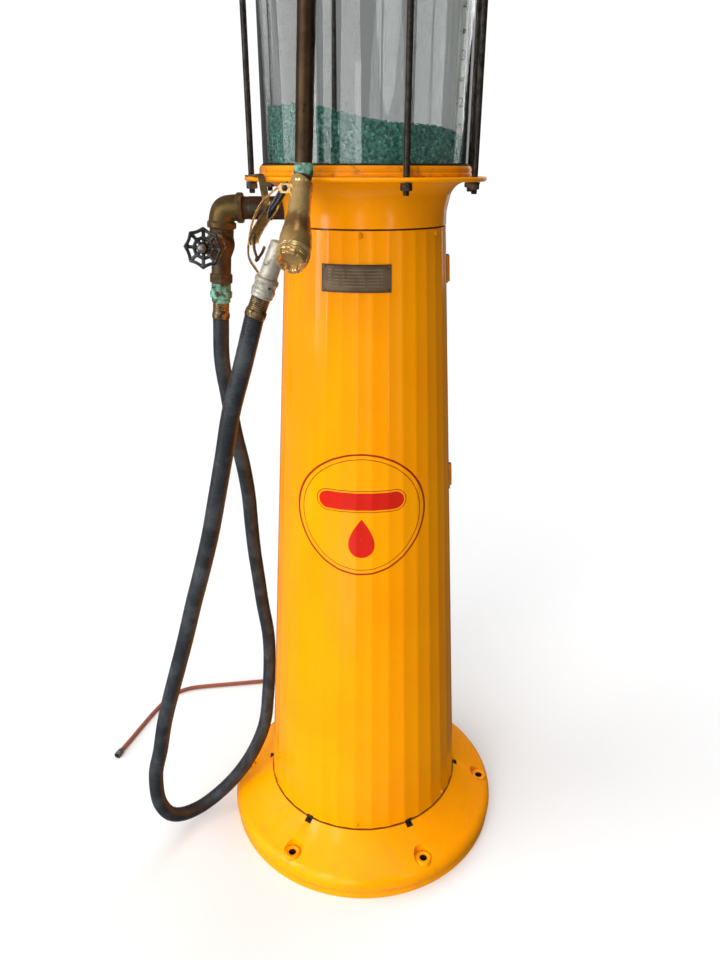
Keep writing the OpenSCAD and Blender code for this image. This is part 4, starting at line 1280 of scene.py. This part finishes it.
def make_crown():
    """The domed casting on the glass, the collar and the milk-glass globe."""
    z = CROWN_Z
    dome = soften([(199, 8), (194, 22), (184, 40), (164, 56), (134, 68), (104, 75), (86, 80),
                   (80, 86)], 9, steps=5)
    profile = soften([(FLANGE_R, 0), (FLANGE_R, 8), (204, 8)], 1.5)
    profile += [(200, 9.5)] + [tuple(p) for p in dome[1:]] + [(80, 97), (72, 97), (72, 82),
                (82, 74), (102, 68), (130, 61), (158, 50), (176, 36), (182, 20), (182, 0)]
    crown = to_object(Shape().lathe([tuple(p) for p in profile], shift(0, 0, z), 192, True),
                      "crown")
    holes = Shape()
    for at in rod_places(z):
        holes.lathe(plug(ROD_HOLE_R, -5, 20), at, 32)
    boolean(crown, holes)
    dress(crown, "paint_yellow", stands_for=["crown_casting"], look="paint_cast", sharp=30)
    turned("collar", [(72, 0), (98, 0), (98, 5), (94, 7), (90.5, 10), (90, 24), (91.5, 26),
                      (89, 28), (84, 28), (84, 8), (72, 8)], "nozzle_brass",
           shift(0, 0, CROWN_TOP), stands_for=["globe_collar"], edge=1.4, n=128, closed=True)
    screws = Shape()
    for k in range(3):
        at = turn(120 * k, "Z") @ shift(0, 0, CROWN_TOP + 19) @ turn(90, "X")
        screws.lathe(soften([(0, 78), (2.8, 78), (2.8, 90), (6, 91), (6, 98), (5, 99), (0, 99)],
                            0.6), at, 28)
    dress(to_object(screws, "collar_screws"), "nozzle_brass")
    disc = []
    for k in range(25):
        u = k / 24
        disc.append((GLOBE_R * math.sin(rad(90 * u)), 0.35 * GLOBE_HALF * min(1, (1 - u) * 9)
                     + 0.65 * GLOBE_HALF * math.cos(rad(90 * u))))
    profile = [(r, -y) for r, y in disc] + disc[::-1][1:]
    bulge = Shape().lathe(profile, shift(0, 0, GLOBE_Z) @ turn(90, "X"), 128)
    neck = soften([(0, CROWN_TOP + 9), (76, CROWN_TOP + 9), (75, CROWN_TOP + 30),
                   (80, CROWN_TOP + 62), (0, CROWN_TOP + 62)], 6)
    bulge.lathe(neck, n=96)
    globe = fuse(to_object(bulge, "milk_globe"), 3.0, 6)
    dress(globe, "milk_glass", stands_for=["globe"])


# ---- discharge pipe, valve and tails ----

def make_elbow():
    """The outlet pipe and the banded elbow."""
    pipe = shift(0, 0, ELBOW.z) @ turn(90, "Y")
    ridges = []
    for k in range(5):
        x = ELBOW.x + 41.5 + 2.2 * k
        ridges += [(20.2, x), (21.1, x + 0.8), (20.2, x + 1.8)]
    profile = [(17.5, ELBOW.x + 30), (20.2, ELBOW.x + 30)] + ridges
    profile += [(21.1, ELBOW.x + 54), (21.1, -130), (21.1, -82), (17.5, -82)]
    turned("outlet_pipe", profile, "bronze_dark", pipe, stands_for=["discharge_nipple"],
           edge=0.3, closed=True, look="bronze_black")
    arm = ELBOW + Vector((40, 0, 0))
    foot = LEG @ Vector((0, 0, -36))
    bow = curve_through([arm, ELBOW + Vector((22, 0, 0)), ELBOW + Vector((5, 0, -4)),
                         LEG @ Vector((-0.5, 0, -20)), foot], 3)
    casting = Shape().sweep(bow, round_section(24, 48))
    at_arm = shift(*arm) @ turn(90, "Y")
    at_foot = LEG @ shift(0, 0, -36)
    band = [(0, -1), (26.5, -1), (27.8, 0.5), (27.8, 9), (26.4, 11), (24, 12), (0, 12)]
    casting.lathe(band, at_arm @ turn(180, "X"), 64)
    casting.lathe(band, at_foot, 64)
    dress(fuse(to_object(casting, "elbow"), 1.0, 3), "bronze_dark",
          stands_for=["discharge_elbow"])


def make_valve():
    """The gate valve's body, bonnet, gland and stem."""
    body = Shape().lathe([(0, -140), (19, -140), (19, -36), (0, -36)], LEG, 48)
    for z0, z1, flat in ((-54, -36.5, 43), (-140, -122, 41)):
        body.nut(flat, z0, z1, LEG @ turn(10, "Z"), sides=8)
    bulge = [(0, -92)] + [(19 + 6.5 * math.cos(rad(90 * s)) ** 1.4, -66 + 26 * s)
                          for s in (k / 8 for k in range(-7, 8))] + [(0, -40)]
    body.lathe(bulge, LEG, 48)
    neck = soften([(0, 0), (21, 0), (19.5, 18), (19.5, 26), (22.5, 28), (22.5, 33.6),
                   (0, 33.6)], 2)
    body.lathe(neck, STEM, 48)
    dress(fuse(to_object(body, "gate_valve"), 0.9, 2), "bronze_dark", stands_for=["valve_body"],
          look="valve_bronze")
    bonnet = Shape().nut(40, 34, 43, STEM)
    bonnet.lathe(soften([(4.6, 42), (18.8, 42), (19.5, 44), (19.5, 48), (16, 51), (12, 55),
                         (11, 58), (4.6, 58)], 1, True), STEM, 48, closed=True)
    dress(to_object(bonnet, "bonnet"), "bronze_dark", stands_for=["valve_bonnet"], sharp=25,
          look="valve_bronze")
    nut = Shape().nut(21, 58, 67, STEM, 4.6)
    nut.lathe(soften([(4.6, 66), (9.5, 66), (9.2, 67.5), (7, 71), (4.6, 71)], 0.5, True),
              STEM, 40, closed=True)
    dress(to_object(nut, "gland_follower"), "bronze_dark", stands_for=["packing_nut"], sharp=25)
    turned("stem", [(0, 6), (4.5, 6), (4.5, 109.5), (3.9, 110.2), (0, 110.2)], "nozzle_brass",
           STEM, "valve_wheel", ["valve_stem"], n=32)
    turned("wheel_nut", [(0, 106), (7.2, 106), (8.3, 107.2), (8.1, 110.5), (6.2, 113),
                         (3, 114), (0, 114.2)], "nozzle_brass", STEM, "valve_wheel",
           ["handwheel_nut"], n=48, look="zinc")


def make_handwheel():
    """A webbed wheel: a thin rim drawn in between its eight spokes, and a middle ring."""
    spokes = 8
    wheel = Shape()
    at = STEM @ shift(0, 0, 100)

    def ring(middle, wave, height, r):
        path = []
        for k in range(192):
            a = k * math.tau / 192
            bow = abs(math.sin(a * spokes / 2)) ** 0.8
            path.append(((middle - wave * bow) * math.cos(a), (middle - wave * bow) * math.sin(a),
                         height))
        path = path + path[:2]
        wheel.sweep(path, round_section(r, 14), side=(0, 0, 1), place=at)

    ring(34.4, 4.6, 0.6, 3.1)
    ring(18.5, 1.2, -1.2, 3.2)
    for k in range(spokes):
        a = k * math.tau / spokes
        path = [(r * math.cos(a), r * math.sin(a), z)
                for r, z in ((6, -2), (13, -2), (19, -1.4), (27, -0.6), (34.4, 0.5))]
        wheel.sweep(path, lambda u: strap_ring(6.4, 7.4 - 1.6 * math.sin(math.pi * u), 1.8),
                    side=(0, 0, 1), place=at)
    wheel.lathe(soften([(0, -7), (9, -7), (10.5, -4), (10.5, 0), (9, 4.6), (0, 5.6)], 1.5), at, 48)
    dress(fuse(to_object(wheel, "web_wheel"), 0.7, 2), "black_iron", "valve_wheel",
          ["handwheel"])


def make_tails():
    """The union under the valve and the hose's two ferrules."""
    union = Shape().nut(38, -170, -154.5, LEG @ turn(18, "Z"), 12)
    union.lathe(soften([(12, -178), (17.5, -178), (18.6, -176), (18.6, -172), (17, -170),
                        (12, -170)], 0.8, True), LEG, 48, closed=True)
    ridges = [(12, -155), (18.4, -155)]
    for k in range(4):
        z = -153 + 3.2 * k
        ridges += [(19.4, z), (19.4, z + 1.4), (18.2, z + 2.2)]
    union.lathe(soften(ridges + [(18.2, -140.5), (12, -140.5)], 0.4, True), LEG, 48,
                closed=True)
    dress(to_object(union, "union_nut"), "verdigris_brass", stands_for=["hose_union"],
          sharp=25)
    rows = [(12, -LEG_LEN), (17.3, -LEG_LEN), (17.6, -LEG_LEN + 2), (17.6, -LEG_LEN + 9),
            (16.6, -LEG_LEN + 10.5)]
    for k in range(4):
        z = -LEG_LEN + 12 + 4.6 * k
        rows += [(16.3, z), (16.3, z + 2.6), (15.6, z + 3.2), (15.6, z + 4.0)]
    turned("upper_ferrule", rows + [(15.8, -178), (12, -178)], "nozzle_brass", LEG,
           stands_for=["upper_hose_tail"], edge=0.5, closed=True, look="ferrule")
    rows = [(10, 0), (17.2, 0), (17.6, 1.5), (17.6, 10.5), (16.6, 12)]
    for k in range(6):
        z = 13.5 + 3.3 * k
        rows += [(15.7, z), (15.7, z + 1.7), (14.8, z + 2.3), (14.8, z + 2.9)]
    turned("lower_ferrule", rows + [(15.5, 34), (10, 34)], "nozzle_brass", BRANCH,
           stands_for=["lower_hose_tail"], edge=0.5, closed=True, look="ferrule")


# ---- nozzle ----

def make_nozzle():
    """The cast barrel with its lever ears, the arm to the hose and the swivel on it."""
    outer = soften([(14.6, 0), (17.2, 0), (18.6, 2), (18.6, 9.5), (17.4, 11.5), (17.2, 30),
                    (18.2, 58), (21, 76), (25.2, 94), (26.4, 110), (24.5, 121)], 2.5, steps=4)
    profile = [(0, 0.5), (14.6, 0.5)] + [tuple(p) for p in outer] + [(0, 121)]
    barrel = Shape().lathe(profile, BARREL, 96)
    barrel.lathe(soften([(0, -8), (24, -8), (26.2, 0), (25.9, 16), (0, 16)], 3), CAP, 96)
    ear = [(x, -z) for x, z in soften([(-8, -8), (14, -8), (16, 4), (8, 8), (-6, 8), (-10, 2)],
                                      3, True)]
    for y in (4.2, -9.2):
        barrel.sweep([LEVER_PIVOT + Vector((0, y, 0)), LEVER_PIVOT + Vector((0, y + 5, 0))],
                     lambda u: ear, side=(1, 0, 0))
    body = fuse(to_object(barrel, "nozzle_barrel"), 0.8, 2)
    wedge = BARREL @ shift(0, 0, 1) @ turn(27, "X")
    boolean(body, Shape().box((-30, -3, -30), (30, 40, 0), wedge))
    dress(body, "nozzle_brass", stands_for=["nozzle_body"], look="barrel_brass")
    rings = Shape()
    for t in (6.5, 10.5):
        rings.lathe([(24, t - 1), (26.2, t - 0.6), (26.8, t), (26.2, t + 0.6), (24, t + 1)], CAP,
                    96, closed=True)
    dress(to_object(rings, "barrel_rings"), "nozzle_brass", look="barrel_brass")
    turned("nozzle_arm", [(9, 66), (15.2, 66), (15.8, 68), (15.0, 71), (14.9, 100), (14.2, 124),
                          (9, 126), (0, 126)], "pot_metal", BRANCH, edge=1.2)
    rows = [(10, 34), (17.4, 34), (18.2, 36), (18.2, 40.5), (19.3, 42), (19.6, 46), (18.8, 48),
            (18.0, 50), (18.4, 57), (19.6, 59.5), (19.6, 64), (18.4, 66), (10, 66)]
    swivel = to_object(Shape().lathe(soften(rows, 0.9, True), BRANCH, 80, True), "swivel")
    dress(swivel, "pot_metal", stands_for=["nozzle_swivel"])
    pins = [BRANCH @ turn(a, "Z") @ shift(0, 0, z) @ turn(90, "Y") @ shift(0, 0, 17.2)
            for a, z in ((-62, 54), (-50, 44), (118, 54))]
    slotted_heads("swivel_screws", pins, 2.8, 2.2, "bronze_dark", [], "bronze_black")


def make_cap():
    """The barrel's end plug: a turned ring, crossed by slots for a spanner."""
    rows = [(0, 15), (25.6, 15), (26.2, 16), (26.2, 19), (24.4, 20.5), (24.0, 25), (22.6, 28),
            (19.5, 29), (16.5, 28), (14.6, 25), (14, 19.6), (0, 19)]
    cap = to_object(Shape().lathe(soften(rows, 0.8), CAP, 96), "end_cap")
    for k in range(3):
        boolean(cap, Shape().box((-40, -2.6, 19.6), (40, 2.6, 40), CAP @ turn(60 * k + 28, "Z")))
    dress(cap, "nozzle_brass", stands_for=["nozzle_cap"], sharp=30, look="barrel_brass")


def make_spout():
    """The long spout, with a crusted joint and a dark socket where it enters the barrel."""
    tube = [(0, 0), (13.6, 0), (14, 2), (14, 60), (14.05, 150), (14, 240), (14, 299), (13.4, 300),
            (12, 300), (12, 60), (0, 60)]
    dress(to_object(Shape().lathe(tube, SPOUT, 64), "spout"), "bronze_dark",
          stands_for=["nozzle_spout"], look="spout_brown")
    turned("spout_joint", [(0, -9), (11.5, -9), (15.2, -5), (15.8, 0), (15.4, 5), (14.9, 9),
                           (14.2, 16), (0, 18)], "verdigris_brass", SPOUT, edge=2.5)
    turned("mouth_socket", [(0, -6), (13.4, -6), (14.2, -3), (14.2, 18), (0, 18)],
           "bronze_dark", BARREL, edge=1.5, look="bronze_black")


def make_lever():
    """A black upper arm, a folded brass grip, a lower strap and its link."""
    arm = Shape().sweep(curve_through([LEVER_PIVOT + Vector((7, 0, 3)), LEVER_PIVOT,
                                       LEVER_PIVOT.lerp(GRIP_TOP, 0.5), GRIP_TOP,
                                       GRIP_TOP + Vector((-5, -2, -16))], 2),
                        lambda u: strap_ring(7.2, 14 - 4 * u, 2.0), side=(0, 1, 0))
    pin = LEVER_PIVOT + Vector((0, 4, 0))
    arm.lathe(soften([(3.1, 0), (8, 0), (8, 8), (3.1, 8)], 1, True),
              shift(*pin) @ turn(90, "X"), 40, closed=True)
    dress(to_object(arm, "lever_arm"), "bronze_dark", "nozzle_lever", ["nozzle_lever"],
          look="black_iron")
    channel = [(-8, 5.5), (-8, -4), (-6.6, -4.9), (6.6, -4.9), (8, -4), (8, 5.5), (6.2, 5.5),
               (6.2, -3.0), (-6.2, -3.0), (-6.2, 5.5)]
    bow = [GRIP_TOP + Vector((4, 0.5, 8)), GRIP_TOP, (GRIP_TOP + GRIP_END) / 2 + Vector((-2.5, 0, 0)),
           GRIP_END, GRIP_END + Vector((0.5, -0.5, -8))]
    grip = Shape().sweep(curve_through(bow, 2), lambda u: channel, side=(1, 0, 0))
    dress(to_object(grip, "lever_grip_channel"), "nozzle_brass", "nozzle_lever", sharp=25,
          look="lever_gold")
    lower = Shape().sweep(curve_through([GRIP_END + Vector((0.5, 0, 8)), GRIP_END,
                                         (GRIP_END + STRAP_END) / 2 + Vector((-2, 0, 0)),
                                         STRAP_END], 2),
                          strap_section(8, 4, 1), side=(0, 1, 0))
    lower.sweep(curve_through([STRAP_END + Vector((-3, 0, -4)), STRAP_END,
                               (STRAP_END + LINK_END) / 2 + Vector((1, 0, -1)), LINK_END], 2),
                strap_section(6, 4.4, 1.2), side=(0, 1, 0))
    lower.lathe(soften([(0, -6), (3.4, -6), (3.4, 6), (0, 6)], 0.8),
                shift(*STRAP_END) @ turn(90, "X"), 28)
    dress(to_object(lower, "lever_link"), "bronze_dark", "nozzle_lever", look="spout_brown")
    turned("pivot_pin", [(0, -0.6), (4.6, -0.6), (5, 0.4), (5, 1.6), (3, 2), (3, 20),
                         (4.6, 20.4), (4.2, 22), (0, 22.4)], "aged_steel",
           shift(*(LEVER_PIVOT + Vector((0, 10.5, 0)))) @ turn(90, "X"), edge=0.5, n=32,
           stands_for=["nozzle_lever_pin"])


def make_guard_and_hook():
    """The strap round the lever, and the bent strap on the flange that the nozzle hangs on."""
    guard = [(-112, -236, 1494), (-132, -234, 1494), (-164, -233, 1470), (-181, -238, 1441),
             (-188, -243, 1412), (-188, -258, 1386), (-172, -274, 1364)]
    shape = Shape().sweep(curve_through(guard, 2), strap_section(8, 3, 0.9), side=(0, 1, 0))
    dress(to_object(shape, "lever_guard"), "bronze_dark", stands_for=["nozzle_guard"],
          look="lever_gold")
    foot = out(ROD_AZ - 90, ROD_CIRCLE)
    strap_z = FLANGE_Z + 1.8
    hook = [(-203, -74, strap_z), (-190, -114, strap_z), (-176, -156, strap_z),
            (-166, -200, 1484), (-158, -224, 1459), (-152, -235, 1455), (-146, -243, 1470)]
    shape = Shape().sweep(curve_through(hook, 3), strap_section(12, 3, 0.9), side=(0.9, 0.3, 0))
    shape.lathe(soften([(5.6, 0), (12, 0), (12, 2.6), (5.6, 2.6)], 0.6, True),
                shift(foot.x, foot.y, FLANGE_Z), 48, closed=True)
    dress(to_object(shape, "rest_hook"), "bronze_dark", stands_for=["nozzle_hook"])


# ---- hand pump lever at the back ----

def make_pump_lever():
    """The forged lever at the back and its ribbed rubber grip."""
    top, middle = Vector((0, 226, PUMP_Z)), Vector((0, 250, PUMP_Z - 450))
    end = Vector((0, 254, PUMP_Z - 590))
    arm = Shape().sweep(curve_through([top, (top + middle) / 2 + Vector((0, 2, 0)), middle], 12),
                        lambda u: strap_ring(30 - 9 * u, 10, 3.2), side=(1, 0, 0))
    arm.lathe(soften([(0, 213), (21, 213), (21, 219), (18, 221), (18, 236), (16, 238),
                      (0, 238)], 1.5), shift(0, 0, PUMP_Z) @ turn(-90, "X"), 64)
    arm.lathe(soften([(0, -16), (13, -12), (15, 0), (12, 14), (8.5, 20), (8, 150), (0, 150)], 3),
              aim(middle, end - middle), 40)
    lever = fuse(to_object(arm, "swing_lever"), 1.6, 3)
    dress(lever, "black_iron", "pump_handle", ["pump_lever"])
    length = (end - middle).length
    rows = [(7, 15), (13, 15), (15.6, 18)]
    for k in range(13):
        z = 22 + k * 8.6
        rows += [(15.2, z), (15.2, z + 5.4), (14.2, z + 6.4), (14.2, z + 7.6)]
    rows += [(15.4, length - 5), (14, length - 0.6), (7, length - 0.2)]
    turned("hand_grip", rows, "grip_rubber", aim(middle, end - middle), "pump_handle",
           ["lever_grip"], edge=0.8, closed=True)


# ---- the CAD pieces that stay ----

def dress_frame():
    """Gives every CAD node that still shows a finish."""
    looks = {
        "paint_yellow": ["door_hinge_leaves", "door_hinge_knuckles"],
        "aged_steel": ["door_hinge_pins", "pump_shaft", "suction_pipe", "riser_pipe",
                       "pump_cover_bolts", "nozzle_spring"],
        "black_iron": ["inner_frame", "pump_body", "pump_cover"],
        "nozzle_brass": ["pump_wing", "valve_gate", "nozzle_valve", "lamp_socket"],
        "milk_glass": ["lamp_bulb"],
    }
    for look, nodes in looks.items():
        for node in nodes:
            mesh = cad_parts[node].data
            mesh.materials.clear()
            mesh.materials.append(finish(look))


def make_floor():
    """A pale floor that the camera sees and that lights nothing."""
    net = Net("floor")
    net.surface(Base_Color=net.mix(net.noise(900, 2), (0.8, 0.8, 0.8, 1), (0.83, 0.83, 0.83, 1)),
                Roughness=net.span(net.noise(300), 0.6, 0.8))
    shape = Shape().lathe([(0, 0), (40000, 0)], n=96)
    floor = to_object(shape, "floor")
    floor.visible_diffuse = False
    floor.visible_glossy = False
    floor.visible_shadow = False
    floor.data.materials.append(net.material)


for make in (make_camera, make_hose, make_supply_cord, make_studio, make_floor, make_base,
            make_column, make_column_screws, make_nameplate, make_neck, make_glass, make_gauge,
            make_granules, make_rods, make_crown, make_elbow, make_valve, make_handwheel,
            make_tails, make_nozzle, make_cap, make_spout, make_lever, make_guard_and_hook,
            make_pump_lever, dress_frame):
    make()
